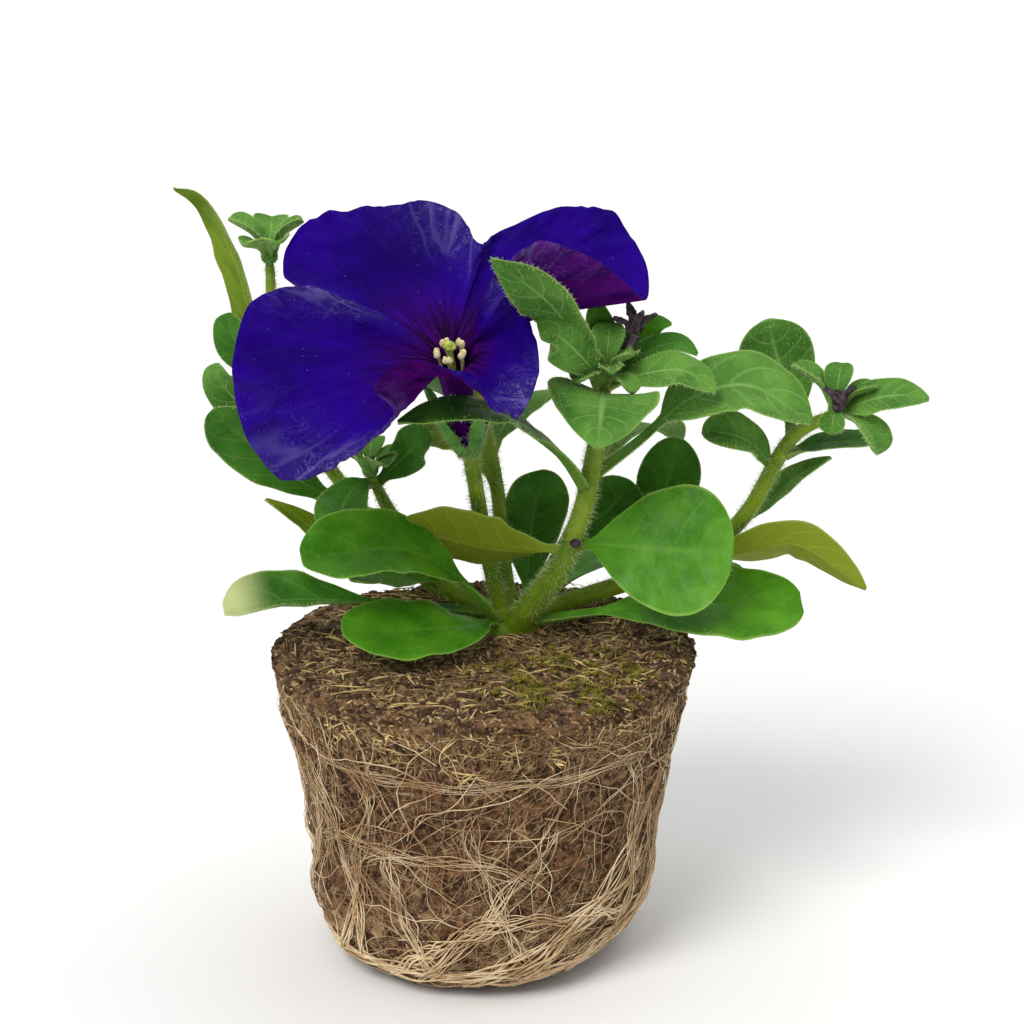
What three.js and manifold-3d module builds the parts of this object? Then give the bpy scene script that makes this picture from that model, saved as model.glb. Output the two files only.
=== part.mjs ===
// A young petunia plant with one open flower, standing on its bare root ball.
// Millimetres, +Z up. The origin is the centre of the flat spot under the root ball,
// and the flower faces -Y.

import * as THREE from 'three';
import { mergeVertices } from 'three/addons/utils/BufferGeometryUtils.js';
import Module from 'manifold-3d';

const wasm = await Module();
wasm.setup();

// Driving dimensions
const rimRadius = 44;
const ballHeight = 64;
const waistRadius = 34.3;
const footRadius = 25;
const ridgeHeight = 53.5;
const gap = 0.3;
const bladeThickness = 0.85;
const petalThickness = 0.65;
const throat = [-5.7, -20, 129.8];
const flowerAxis = [-0.12, -0.52, 0.85];
const tubeLength = 24;
const crown = { centre: [5.5, 11, 63.5], radius: 6.4, height: 5, hole: 7, depth: 9 };

// Colours and finishes
const leafGreen = 0x4f8f35;
const leafDark = 0x35702f;
const leafPale = 0x6fa35c;
const leafOlive = 0x74861f;

function finish(color, roughness) {
  return new THREE.MeshStandardMaterial({ color, roughness, metalness: 0 });
}

const materials = {
  peat: finish(0x4a3222, 1.0),
  root: finish(0xc9ad84, 0.8),
  stem: finish(0x7c9430, 0.6),
  petal: finish(0x2a0a8c, 0.75),
  anther: finish(0xe9dc9a, 0.8),
  stigma: finish(0xb4c04a, 0.5),
  dry: finish(0x2b2326, 0.9),
};

// Vectors and closed solids

function vector([x, y, z]) {
  return new THREE.Vector3(x, y, z);
}

function heading(turn, rise) {
  const a = THREE.MathUtils.degToRad(turn);
  const b = THREE.MathUtils.degToRad(rise);
  return new THREE.Vector3(Math.cos(b) * Math.cos(a), Math.cos(b) * Math.sin(a), Math.sin(b));
}

function smoothPath(points) {
  return new THREE.CatmullRomCurve3(points, false, 'catmullrom', 0.5);
}

function meshGeometry(points, triangles) {
  const geometry = new THREE.BufferGeometry();
  const coordinates = points.flatMap((p) => [p.x, p.y, p.z]);
  geometry.setAttribute('position', new THREE.Float32BufferAttribute(coordinates, 3));
  geometry.setIndex(triangles);
  return geometry;
}

function toSolid(geometry) {
  const bare = geometry.clone();
  bare.deleteAttribute('normal');
  bare.deleteAttribute('uv');
  const merged = mergeVertices(bare, 1e-5);
  const mesh = new wasm.Mesh({
    numProp: 3,
    vertProperties: new Float32Array(merged.attributes.position.array),
    triVerts: new Uint32Array(merged.index.array),
  });
  return new wasm.Manifold(mesh);
}

function toGeometry(solid) {
  const mesh = solid.getMesh();
  const geometry = new THREE.BufferGeometry();
  geometry.setAttribute('position', new THREE.BufferAttribute(new Float32Array(mesh.vertProperties), 3));
  geometry.setIndex(new THREE.BufferAttribute(new Uint32Array(mesh.triVerts), 1));
  return geometry;
}

function fuse(solids) {
  return solids.reduce((whole, solid) => whole.add(solid));
}

function largestPiece(solid) {
  const pieces = solid.decompose();
  return pieces.reduce((best, piece) => (piece.volume() > best.volume() ? piece : best));
}

// A thin sheet between two grids of points, split into triangles alike on both faces.
// With wrap, the last column joins the first, as in a funnel.
function sheetGeometry(upper, lower, wrap = false) {
  const rows = upper.length;
  const columns = upper[0].length;
  const under = rows * columns;
  const lastColumn = wrap ? columns : columns - 1;
  const triangles = [];
  for (let row = 0; row < rows - 1; row += 1) {
    for (let column = 0; column < lastColumn; column += 1) {
      const next = (column + 1) % columns;
      const a = row * columns + column;
      const b = row * columns + next;
      const c = a + columns;
      const d = b + columns;
      triangles.push(a, b, d, a, d, c);
      triangles.push(under + a, under + d, under + b, under + a, under + c, under + d);
    }
  }
  const edge = (a, b) => triangles.push(a, b, under + b, a, under + b, under + a);
  for (let row = 0; row < rows - 1 && !wrap; row += 1) {
    edge(row * columns, (row + 1) * columns);
    edge((row + 2) * columns - 1, (row + 1) * columns - 1);
  }
  for (let column = 0; column < lastColumn; column += 1) {
    const next = (column + 1) % columns;
    edge(next, column);
    edge((rows - 1) * columns + column, (rows - 1) * columns + next);
  }
  return meshGeometry([...upper.flat(), ...lower.flat()], triangles);
}

// A round tapered tube along a path, closed at both ends.
function tubeSolid(points, radii, { sides = 6, steps = 8, grow = 0 } = {}) {
  const path = smoothPath(points);
  const vertices = [];
  const triangles = [];
  const start = path.getTangentAt(0);
  const side = new THREE.Vector3(0.1, 1, 0).cross(start).normalize();
  for (let step = 0; step <= steps; step += 1) {
    const along = step / steps;
    const centre = path.getPointAt(along);
    const forward = path.getTangentAt(along);
    side.addScaledVector(forward, -side.dot(forward)).normalize();
    const across = forward.clone().cross(side);
    const place = along * (radii.length - 1);
    const index = Math.min(Math.floor(place), radii.length - 2);
    const radius = THREE.MathUtils.lerp(radii[index], radii[index + 1], place - index) + grow;
    if (step === 0) centre.addScaledVector(forward, -grow);
    if (step === steps) centre.addScaledVector(forward, grow);
    for (let corner = 0; corner < sides; corner += 1) {
      const turn = (2 * Math.PI * corner) / sides;
      const vertex = centre.clone().addScaledVector(side, radius * Math.cos(turn));
      vertices.push(vertex.addScaledVector(across, radius * Math.sin(turn)));
    }
  }
  for (let step = 0; step < steps; step += 1) {
    for (let corner = 0; corner < sides; corner += 1) {
      const a = step * sides + corner;
      const b = step * sides + ((corner + 1) % sides);
      triangles.push(a, b, b + sides, a, b + sides, a + sides);
    }
  }
  const last = steps * sides;
  for (let corner = 1; corner < sides - 1; corner += 1) {
    triangles.push(0, corner + 1, corner, last, last + corner, last + corner + 1);
  }
  return toSolid(meshGeometry(vertices, triangles));
}

function ballSolid(centre, radii, grow = 0, sides = 6) {
  const sphere = new THREE.SphereGeometry(1, sides, Math.ceil(sides / 2) + 1);
  sphere.rotateX(Math.PI / 2);
  sphere.scale(radii[0] + grow, radii[1] + grow, radii[2] + grow);
  sphere.translate(centre.x, centre.y, centre.z);
  return toSolid(sphere);
}

// Root ball: it keeps the shape of its pot, with a ridge below the rim, an uneven top
// and its low right corner worn away. Each row is a radius and a height.
const ballProfile = [
  [0, 0],
  [footRadius, 0],
  [30, 2.5],
  [33.2, 8],
  [waistRadius, 15],
  [35.2, 25],
  [36.6, 35],
  [38.7, 46],
  [40.3, ridgeHeight - 1.5],
  [41.0, ridgeHeight],
  [40.8, ridgeHeight + 2],
  [43.0, ballHeight - 3.5],
  [rimRadius - 0.4, ballHeight - 1.4],
  [41.0, ballHeight],
  [31, ballHeight],
  [20, ballHeight],
  [10, ballHeight],
  [0, ballHeight],
];
const wallRows = ballProfile.slice(1, 13);
const topStart = ballHeight - 2;

function wallRadius(height) {
  const upper = Math.max(1, wallRows.findIndex((row) => row[1] >= height));
  const [lowRadius, lowHeight] = wallRows[upper - 1];
  const [highRadius, highHeight] = wallRows[upper];
  const share = (height - lowHeight) / (highHeight - lowHeight);
  return THREE.MathUtils.lerp(lowRadius, highRadius, share);
}

function wornCorner(turn, height) {
  const facing = Math.max(0, Math.cos(turn + 0.35));
  const low = Math.max(0, 1 - height / 24);
  return 1 - 0.17 * facing * facing * low * low;
}

function wallBumps(turn, height) {
  const waves = Math.sin(5 * turn + height * 0.21) + 0.7 * Math.sin(9 * turn - height * 0.33 + 1.3);
  return 0.35 * waves * Math.min(1, height / 6);
}

function topBumps(x, y) {
  const broad = 0.55 * Math.sin(x * 0.31 + 0.4) * Math.sin(y * 0.27 + 1.1);
  return broad + 0.35 * Math.sin(x * 0.53 - y * 0.47);
}

function buildPeatBlock() {
  const outline = ballProfile.map(([radius, height]) => new THREE.Vector2(radius, height));
  const lathe = new THREE.LatheGeometry(outline, 36);
  lathe.rotateX(Math.PI / 2);
  const position = lathe.attributes.position;
  for (let i = 0; i < position.count; i += 1) {
    const place = new THREE.Vector3().fromBufferAttribute(position, i);
    const radius = Math.hypot(place.x, place.y);
    const turn = Math.atan2(place.y, place.x);
    const bump = place.z > topStart ? 0 : wallBumps(turn, place.z);
    const moved = radius < 1e-6 ? 0 : radius * wornCorner(turn, place.z) + bump;
    const lift = place.z > topStart ? topBumps(place.x, place.y) : 0;
    position.setXYZ(i, moved * Math.cos(turn), moved * Math.sin(turn), place.z + lift);
  }
  const hole = new THREE.CylinderGeometry(crown.hole, crown.hole, crown.depth * 2, 14);
  hole.rotateX(Math.PI / 2);
  hole.translate(crown.centre[0], crown.centre[1], ballHeight);
  return toSolid(lathe).subtract(toSolid(hole));
}

// Root net: each strand runs over the wall from a start to an end, both given as a turn
// about the ball in degrees and a height. It swings sideways by its sway on the way.
const rootStrands = [
  { from: [-178, 5], to: [-60, 4], sway: 1.5, size: 1.5 },
  { from: [-80, 4], to: [40, 6], sway: 2, size: 1.7 },
  { from: [20, 6], to: [120, 4], sway: 2, size: 1.4 },
  { from: [100, 5], to: [192, 5], sway: 1.5, size: 1.4 },
  { from: [-142, 50], to: [-40, 51.5], sway: -1.2, size: 1.0 },
  { from: [-150, 4.5], to: [-128, 52], sway: 9, size: 1.2 },
  { from: [-136, 4.5], to: [-150, 48], sway: 6, size: 1.1 },
  { from: [-128, 4.5], to: [-84, 22], sway: 3, size: 1.4 },
  { from: [-114, 4.5], to: [-68, 40], sway: 7, size: 1.3 },
  { from: [-102, 4.2], to: [-118, 36], sway: -7, size: 1.2 },
  { from: [-98, 4.2], to: [-28, 27], sway: 6, size: 1.7 },
  { from: [-80, 4.2], to: [-26, 44], sway: 10, size: 1.5 },
  { from: [-68, 4.4], to: [-92, 44], sway: -7, size: 1.1 },
  { from: [-56, 4.8], to: [-10, 22], sway: 5, size: 1.8 },
  { from: [-40, 5], to: [-46, 52], sway: 9, size: 1.2 },
  { from: [-32, 5.2], to: [6, 38], sway: 7, size: 1.5 },
  { from: [-152, 30], to: [-74, 27], sway: 5, size: 1.1 },
  { from: [-94, 17], to: [-34, 14], sway: 3, size: 1.4 },
  { from: [-10, 5.4], to: [18, 50], sway: 9, size: 1.3 },
  { from: [8, 5.6], to: [60, 30], sway: 7, size: 1.4 },
  { from: [34, 6], to: [30, 46], sway: -9, size: 1.2 },
  { from: [80, 5.5], to: [70, 50], sway: 9, size: 1.2 },
  { from: [92, 4.8], to: [140, 28], sway: 6, size: 1.4 },
  { from: [134, 5], to: [176, 36], sway: 7, size: 1.3 },
  { from: [160, 5], to: [152, 50], sway: 8, size: 1.1 },
  { from: [176, 5], to: [212, 42], sway: 6, size: 1.2 },
  { from: [-14, 22], to: [102, 24], sway: 4, size: 1.2 },
  { from: [96, 18], to: [206, 24], sway: 4, size: 1.1 },
];
const rootClearance = 1.1;
const strandStep = 9;

// One strand: a bar of triangular section, flat side in, that follows the wall just clear of it.
function strandSolid({ from, to, sway, size }) {
  const level = Math.abs(to[1] - from[1]) < 12;
  const plan = [];
  for (let k = 0; k <= 5; k += 1) {
    const t = k / 5;
    const bend = sway * (Math.sin(Math.PI * t) + 0.25 * Math.sin(3 * Math.PI * t));
    const turn = THREE.MathUtils.degToRad(THREE.MathUtils.lerp(from[0], to[0], t) + (level ? 0 : bend));
    const height = THREE.MathUtils.lerp(from[1], to[1], t) + (level ? bend : 0);
    plan.push(new THREE.Vector3(turn * waistRadius, height, 0));
  }
  const path = smoothPath(plan);
  const steps = Math.round(path.getLength() / strandStep);
  const vertices = [];
  const triangles = [];
  for (let step = 0; step <= steps; step += 1) {
    const t = step / steps;
    const place = path.getPointAt(t);
    const tangent = path.getTangentAt(t);
    const half = (size / 2) * (1 - 0.35 * t);
    const corner = (aside, lift) => {
      const turn = (place.x - aside * half * tangent.y) / waistRadius;
      const height = place.y + aside * half * tangent.x;
      const radius = wallRadius(height) * wornCorner(turn, height) + wallBumps(turn, height);
      const reach = radius + rootClearance + lift;
      return new THREE.Vector3(reach * Math.cos(turn), reach * Math.sin(turn), height);
    };
    vertices.push(corner(-1, 0), corner(1, 0), corner(0, size * 0.75));
  }
  for (let step = 0; step < steps; step += 1) {
    for (let k = 0; k < 3; k += 1) {
      const a = step * 3 + k;
      const b = step * 3 + ((k + 1) % 3);
      triangles.push(a, b, b + 3, a, b + 3, a + 3);
    }
  }
  const last = steps * 3;
  triangles.push(0, 2, 1, last, last + 1, last + 2);
  return toSolid(meshGeometry(vertices, triangles));
}

function buildRootNet() {
  return largestPiece(fuse(rootStrands.map(strandSolid)));
}

// Places in the flower: a depth down its tube, and a radius and a turn about its axis.
const axis = vector(flowerAxis).normalize();
const rightward = new THREE.Vector3(1, 0, 0).addScaledVector(axis, -axis.x).normalize();
const upward = axis.clone().cross(rightward);

function onAxis(depth, radius = 0, turn = 0) {
  const place = vector(throat).addScaledVector(axis, -depth);
  place.addScaledVector(rightward, radius * Math.cos(turn));
  return place.addScaledVector(upward, radius * Math.sin(turn));
}

const calyxDepth = 4;
const calyxFoot = onAxis(tubeLength + calyxDepth).toArray();

// Stems: every path starts in the crown or in another stem.
const stemPaths = [
  { path: [[4.8, 9, 62], [9.5, 5, 70.5], [14.7, 1, 79], [17.8, 0, 85.6]], radii: [2.8, 2.7, 2.4, 2.1] },
  {
    path: [[17.5, 0, 85], [20.2, 0, 93.6], [22.1, 0, 104], [23.7, -1, 114.4], [24.2, -2, 119.5]],
    radii: [2.0, 2.0, 1.9, 1.6, 1.1],
  },
  {
    path: [[7.5, 12, 66], [24, 16, 70], [42.4, 16, 76.7], [53.3, 14, 87], [61.5, 8, 104.7], [69.5, 3, 111.5]],
    radii: [1.9, 1.9, 1.8, 1.7, 1.6, 1.2],
  },
  { path: [[4.4, 11.5, 65], [1, 8, 80.5], [-0.9, 2, 93.7], calyxFoot], radii: [1.8, 1.7, 1.6, 1.6] },
  {
    path: [[5.8, 14, 65], [3.8, 13, 80], [3, 12.5, 92], [0, 19, 106], [-4, 26, 116]],
    radii: [1.7, 1.6, 1.5, 1.4, 1.1],
  },
  { path: [[2.3, 12, 66], [-9, 16, 72.5], [-18, 14, 86], [-22.3, 8, 97]], radii: [1.9, 1.7, 1.5, 1.1] },
  {
    path: [[2, 14, 66], [-13, 22, 71.5], [-27, 20, 89], [-37, 17, 106.6], [-41.5, 13, 128], [-42, 11, 140]],
    radii: [1.8, 1.7, 1.5, 1.4, 1.3, 1.0],
  },
  { path: [[8, 14, 66], [18, 26, 79], [26, 33, 98]], radii: [1.8, 1.6, 1.2] },
];

function buildStems(grow) {
  const tubes = stemPaths.map(({ path, radii }) => tubeSolid(path.map(vector), radii, { grow }));
  const heart = ballSolid(vector(crown.centre), [crown.radius, crown.radius, crown.height], grow, 12);
  return fuse([heart, ...tubes]);
}

// Blades: petiole is the share of the length before the blade opens, shoulder and tip say
// how slowly it widens and how sharply it ends, fold is the rise of each half in degrees,
// and curl is how far the edges roll down.
const bladeKinds = {
  spoon: { petiole: 0.3, shoulder: 1.15, tip: 0.52, fold: 6, curl: 0.05 },
  oval: { petiole: 0.13, shoulder: 0.95, tip: 0.52, fold: 6, curl: 0.05 },
  point: { petiole: 0.14, shoulder: 0.8, tip: 0.85, fold: 9, curl: 0.03 },
  lance: { petiole: 0.15, shoulder: 0.8, tip: 0.95, fold: 20, curl: 0 },
  sepal: { petiole: 0.02, shoulder: 0.45, tip: 0.6, fold: 8, curl: 0 },
};

// Width of a blade at v, from 0 where it opens to 1 at the tip, as a share of its widest.
function bladeShape(v, shoulder, tip) {
  const inside = THREE.MathUtils.clamp(v, 0, 1);
  const widest = (shoulder / (shoulder + tip)) ** shoulder * (tip / (shoulder + tip)) ** tip;
  return (inside ** shoulder * (1 - inside) ** tip) / widest;
}

// A blade along its midrib, from stem to tip. face is the way its upper side looks.
function bladeSolid(leaf, { rows = 6, columns = 5, grow = 0 } = {}) {
  const kind = { ...bladeKinds[leaf.kind], ...leaf };
  const path = smoothPath(leaf.path);
  const stalk = leaf.stalk ?? 1.2;
  const fold = THREE.MathUtils.degToRad(kind.fold);
  const upper = [];
  const lower = [];
  for (let row = 0; row <= rows; row += 1) {
    const along = (1 - (1 - row / rows) ** 1.35) * 0.985;
    const forward = path.getTangentAt(along);
    const centre = path.getPointAt(along).addScaledVector(forward, row === rows ? grow : 0);
    const sideways = forward.clone().cross(leaf.face).normalize();
    const up = sideways.clone().cross(forward);
    const opened = (along - kind.petiole) / (1 - kind.petiole);
    const openness = opened > 0 ? bladeShape(opened, kind.shoulder, kind.tip) : 0;
    const half = Math.hypot((openness * leaf.width) / 2, stalk * Math.sqrt(1 - along)) + grow;
    const stalkShare = Math.max(0, 1 - along / kind.petiole);
    const topLine = [];
    const lowLine = [];
    for (let column = 0; column < columns; column += 1) {
      const across = (2 * column) / (columns - 1) - 1;
      const reach = Math.abs(across);
      const lift = (Math.sin(fold) * reach - kind.curl * reach ** 2.5 * openness) * half;
      const rib = 0.5 * stalk * (1 - along) * (1 - reach) ** 2;
      const stout = (1.3 * stalk - bladeThickness) * stalkShare * (1 - 0.5 * reach);
      const thickness = bladeThickness * (1 - 0.25 * reach) + rib + stout;
      const top = centre.clone().addScaledVector(sideways, across * Math.cos(fold) * half);
      top.addScaledVector(up, lift + grow);
      topLine.push(top);
      lowLine.push(top.clone().addScaledVector(up, -thickness - 2 * grow));
    }
    upper.push(topLine);
    lower.push(lowLine);
  }
  return toSolid(sheetGeometry(upper, lower));
}

function leaf(name, kind, width, color, face, path, more = {}) {
  return { name, kind, width, color, face: vector(face).normalize(), path: path.map(vector), ...more };
}

const leaves = [
  leaf('leaf_low_right', 'oval', 27, leafGreen, [-0.1, -0.85, 0.55],
    [[17.6, 0.5, 85], [23.3, -2, 86], [34, -6, 86.5], [49.5, -9, 86]]),
  leaf('leaf_soil_right', 'spoon', 21, leafGreen, [0, -0.45, 1],
    [[8, 9, 66], [23.5, 0, 71.3], [41.5, -2, 73.2], [64.5, 0, 73]]),
  leaf('leaf_low_right_point', 'point', 10, leafOlive, [0.15, 1, 0.5],
    [[41, 16, 76.5], [53.3, 11.5, 80.6], [64.3, 9, 83], [78, 7, 73.5]]),
  leaf('leaf_low_left', 'spoon', 19, leafGreen, [-0.1, -0.55, 1],
    [[4, 8, 66.5], [-4.5, -4, 79.6], [-17, -9, 87.5], [-35.5, -14, 86.7]], { fold: 12, curl: -0.05 }),
  leaf('leaf_mid_left', 'oval', 19, leafOlive, [0, 0.75, 0.65],
    [[17.5, 0.5, 84.5], [3.5, 1, 85], [-8.5, -1, 88.3], [-16.2, -2, 91]], { tip: 0.7 }),
  leaf('leaf_soil_left', 'oval', 17, leafGreen, [0, -0.5, 1],
    [[3, 8, 66.5], [-4.5, -6, 70.4], [-16.2, -12, 71.5], [-27.7, -15, 73]]),
  leaf('leaf_far_left', 'spoon', 14, leafDark, [0, -0.3, 1],
    [[2, 11, 67], [-20, 6, 71], [-39, 2, 73], [-52.5, 0, 71]], { petiole: 0.45, fold: 22, curl: -0.1 }),
  leaf('leaf_under_flower', 'point', 11, leafDark, [-0.2, -0.45, 1],
    [[21, -0.5, 97.5], [15, -8, 107.3], [4.5, -17, 117.1], [-5, -24, 120.1], [-16, -27, 118.3]],
    { petiole: 0.25, curl: 0.15 }),
  leaf('leaf_upright_front', 'lance', 11, leafPale, [-0.5, -0.8, 0.5],
    [[23.7, -1, 115.5], [19, -6, 127.8], [12.1, -15.5, 139], [2, -27.5, 149.6]], { fold: 10 }),
  leaf('leaf_front_hang', 'point', 22, leafPale, [0, -1, 0.55],
    [[24, -2, 117.5], [23.4, -9, 118], [22.7, -16, 115], [22, -18.5, 110.5]], { shoulder: 0.4, curl: -0.08 }),
  leaf('leaf_front_right_large', 'point', 17, leafPale, [0.1, -0.6, 1],
    [[21.4, 0.5, 99], [31.2, 2, 106.4], [41, 2, 115], [52.5, 0, 118.2], [64.5, -6, 112]],
    { petiole: 0.35, fold: 14, curl: 0.12 }),
  leaf('leaf_front_right_small', 'point', 9.5, leafPale, [0.1, -0.6, 1],
    [[24.2, -1, 118.5], [32.8, -2.5, 121.5], [39.5, -4.5, 122.3], [45.7, -6.5, 118.6]], { curl: 0.1 }),
  leaf('leaf_front_left_small', 'oval', 10, leafPale, [-0.2, -0.9, 0.5],
    [[23.8, -3.4, 119.5], [18.5, -9, 127], [14, -12, 131.5], [11.5, -14, 131.5]]),
  leaf('leaf_front_dark', 'point', 6, leafDark, [0, -0.6, 1],
    [[25, 0, 119.5], [32, 3, 124], [38, 3, 126], [42.5, 2, 124]]),
  leaf('leaf_front_point', 'lance', 6.5, leafGreen, [0.2, -1, 0.2],
    [[24.3, 0.5, 119], [23.5, 3, 126.5], [22.5, 3, 131.5], [22, 3, 136]]),
  leaf('leaf_front_back', 'point', 7, leafGreen, [0.1, -0.7, 0.8],
    [[24.6, 1, 119], [30, 6, 125], [34, 7, 128.5], [37.5, 7, 129]]),
  leaf('leaf_right_upright', 'oval', 15, leafPale, [-0.1, -0.9, 0.3],
    [[61.8, 8, 104.7], [61.2, 13, 113], [58.3, 12, 122.5], [56.6, 10, 128.9]]),
  leaf('leaf_right_end', 'point', 9.5, leafPale, [0.1, -0.6, 1],
    [[69, 3.3, 111], [76.3, 1, 115], [81.9, -1, 116.5], [87.7, -2, 116]]),
  leaf('leaf_right_under', 'point', 8, leafDark, [0.1, -0.3, 1],
    [[60.5, 8.7, 102], [68.3, 7.5, 104.4], [75, 5, 105.6], [80.4, 4, 106.4]]),
  leaf('leaf_right_narrow', 'lance', 6, leafPale, [-0.2, -0.6, 1],
    [[51.2, 14.6, 84], [57.5, 17, 88.5], [64, 15.5, 95], [70.5, 14, 99.6]]),
  leaf('leaf_right_cup', 'oval', 9, leafPale, [0, -0.7, 0.7],
    [[58.5, 10.5, 97], [55, 8, 103], [50, 5, 106.6], [43.5, 5, 107.6]], { fold: 20, curl: -0.1 }),
  leaf('leaf_left_small', 'oval', 10, leafGreen, [-0.2, -0.6, 1],
    [[-9, 16, 72.5], [-17, 8, 76], [-22, 2, 78], [-26, -4, 79.6]]),
  leaf('leaf_left_olive', 'lance', 6, leafOlive, [-0.3, -0.5, 1],
    [[-14, 15.5, 79], [-29, 11, 81.5], [-37, 9, 87.6], [-43.9, 8, 92.6]]),
  leaf('leaf_left_hang', 'oval', 11, leafDark, [-0.4, -0.9, 0.4],
    [[-22, 8.5, 96], [-25.5, 3, 96.5], [-28.3, -1, 92.5], [-29.8, -2, 86.6]]),
  leaf('leaf_left_dark', 'oval', 9, leafDark, [0, -0.8, 0.6],
    [[-21.5, 9.5, 95], [-15.5, 6, 102], [-12.8, 4, 105.4], [-10.2, 3, 106.5]]),
  leaf('leaf_tall_left', 'lance', 8, leafOlive, [-0.7, -0.6, 0.3],
    [[-37.3, 16.7, 108], [-44.3, 15, 120.4], [-49, 14, 139], [-54.5, 12, 151.6], [-60.7, 10, 155.4]]),
  leaf('leaf_tall_left_side', 'oval', 9, leafDark, [-0.4, -0.8, 0.3],
    [[-40, 14.3, 117], [-45, 11, 119], [-49.2, 9, 124.8], [-50.3, 8, 130.7]]),
  leaf('leaf_tall_left_pale', 'oval', 9, leafPale, [-0.4, -0.8, 0.3],
    [[-35.8, 17.2, 104], [-45.8, 12.5, 108.5], [-52.1, 11, 115.3], [-53.3, 10, 119.9]]),
  leaf('leaf_left_broad', 'oval', 13, leafDark, [-0.4, -0.9, 0.3],
    [[-24, 20.4, 84.5], [-34, 12, 93], [-44, 7, 102], [-53.5, 2, 112.5]], { petiole: 0.3, stalk: 2 }),
  leaf('leaf_mid_behind', 'oval', 10, leafOlive, [-0.2, -0.6, 0.8],
    [[3, 12.5, 93], [-2.5, 9, 104.5], [-8.5, 8, 107], [-15, 7, 105.5]]),
  leaf('leaf_inner_right', 'oval', 13, leafDark, [-0.2, -0.9, 0.3],
    [[33, 16.1, 72.8], [35.3, 20, 84.1], [38.5, 18, 95.4], [40, 17, 102.5]]),
  leaf('leaf_inner_front', 'oval', 14, leafDark, [0.3, -0.9, 0.3],
    [[9, 12, 68], [9.3, 16, 77], [10.5, 14, 88.1], [13.1, 13, 96.9]]),
  leaf('leaf_inner_back', 'oval', 14, leafDark, [0.1, -0.9, 0.3],
    [[16.5, 24.5, 77.5], [21, 21, 82.5], [26, 17.5, 87.5], [30.3, 16, 93.5]]),
  leaf('leaf_back_left', 'spoon', 17, leafGreen, [-0.1, 0.3, 1],
    [[3, 16, 66], [-8, 27, 70], [-18, 35, 73], [-27, 43, 71.5]]),
  leaf('leaf_back', 'spoon', 19, leafGreen, [0, 0.35, 1],
    [[5.5, 16, 66], [4, 30, 71], [2, 42, 75], [0, 56, 72]]),
  leaf('leaf_back_right', 'spoon', 19, leafGreen, [0.2, 0.3, 1],
    [[8, 15.5, 66], [18, 25, 70], [27, 36, 73], [36, 46, 71]]),
  leaf('leaf_back_far_right', 'spoon', 17, leafDark, [0.1, 0.1, 1],
    [[10.5, 13.5, 66.5], [26, 21, 68.5], [42, 27, 71], [55, 31, 70]]),
  leaf('leaf_shoot_back_left', 'point', 14, leafGreen, [-0.1, 0.2, 1],
    [[-0.5, 20, 107], [-11, 31, 111], [-19, 37, 109], [-25, 41, 103]]),
  leaf('leaf_shoot_back', 'point', 14, leafPale, [0.1, 0.4, 1],
    [[1.6, 15.8, 99.5], [6, 28, 106], [10, 37, 107], [12, 45, 102]]),
  leaf('leaf_shoot_back_right', 'point', 13, leafPale, [0.2, 0.5, 1],
    [[24, 31.3, 93], [31, 38, 98], [37, 43, 98], [42, 47, 93]]),
];

// Shoot tips: small leaves round a knob. Each leaf is a turn, a rise, a length and a width.
const shootTips = [
  {
    name: 'shoot_tip_front',
    centre: [24.4, -2.3, 121.2],
    leaves: [[80, 74, 10, 5.5], [205, 48, 8, 4.5], [222, 6, 8.5, 5], [-20, 48, 7, 4], [-82, 26, 6.5, 4],
      [-42, -14, 7.5, 4.5], [40, 30, 8, 5]],
  },
  {
    name: 'shoot_tip_right',
    centre: [69.9, 2.4, 113],
    leaves: [[165, 48, 12, 6], [70, 74, 9, 5], [5, 34, 9, 5], [-105, -26, 7, 4.5], [-38, -30, 13, 8],
      [100, 24, 10, 6]],
  },
  {
    name: 'shoot_tip_left',
    centre: [-22.6, 7.6, 98.6],
    leaves: [[180, 40, 8, 5], [250, 45, 6, 4], [-60, 30, 8, 5], [0, 40, 7, 5], [90, 45, 8, 5]],
  },
  {
    name: 'shoot_tip_far_left',
    centre: [-42, 10.9, 141.6],
    leaves: [[170, 50, 11, 5.5], [230, 35, 8, 5], [-70, 40, 8, 5], [0, 55, 10, 5], [90, 40, 11, 6]],
  },
  {
    name: 'shoot_tip_back_left',
    centre: [-4.3, 26.6, 117.4],
    leaves: [[180, 45, 9, 5.5], [250, 60, 8, 5], [-20, 40, 9, 5.5], [80, 30, 10, 6]],
  },
  {
    name: 'shoot_tip_back_right',
    centre: [26.3, 33.2, 99.6],
    leaves: [[160, 45, 9, 5.5], [230, 60, 8, 5], [0, 40, 10, 6], [80, 35, 9, 5.5]],
  },
];

function sprayBlade(centre, [turn, rise, length, width], kind) {
  const face = heading(turn + 180, 90 - rise);
  const foot = centre.clone().addScaledVector(heading(turn, rise), 0.8);
  const middle = centre.clone().addScaledVector(heading(turn, rise + 10), length * 0.5);
  const end = centre.clone().addScaledVector(heading(turn, rise - 6), length);
  return { kind, width, face, path: [foot, middle, end], stalk: 0.6 };
}

function buildShootTip({ centre, leaves: small }, grow) {
  const heart = vector(centre);
  const blades = small.map((row) => bladeSolid(sprayBlade(heart, row, 'oval'), { rows: 3, columns: 3, grow }));
  return fuse([ballSolid(heart, [1.7, 1.7, 1.7], grow), ...blades]);
}

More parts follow.
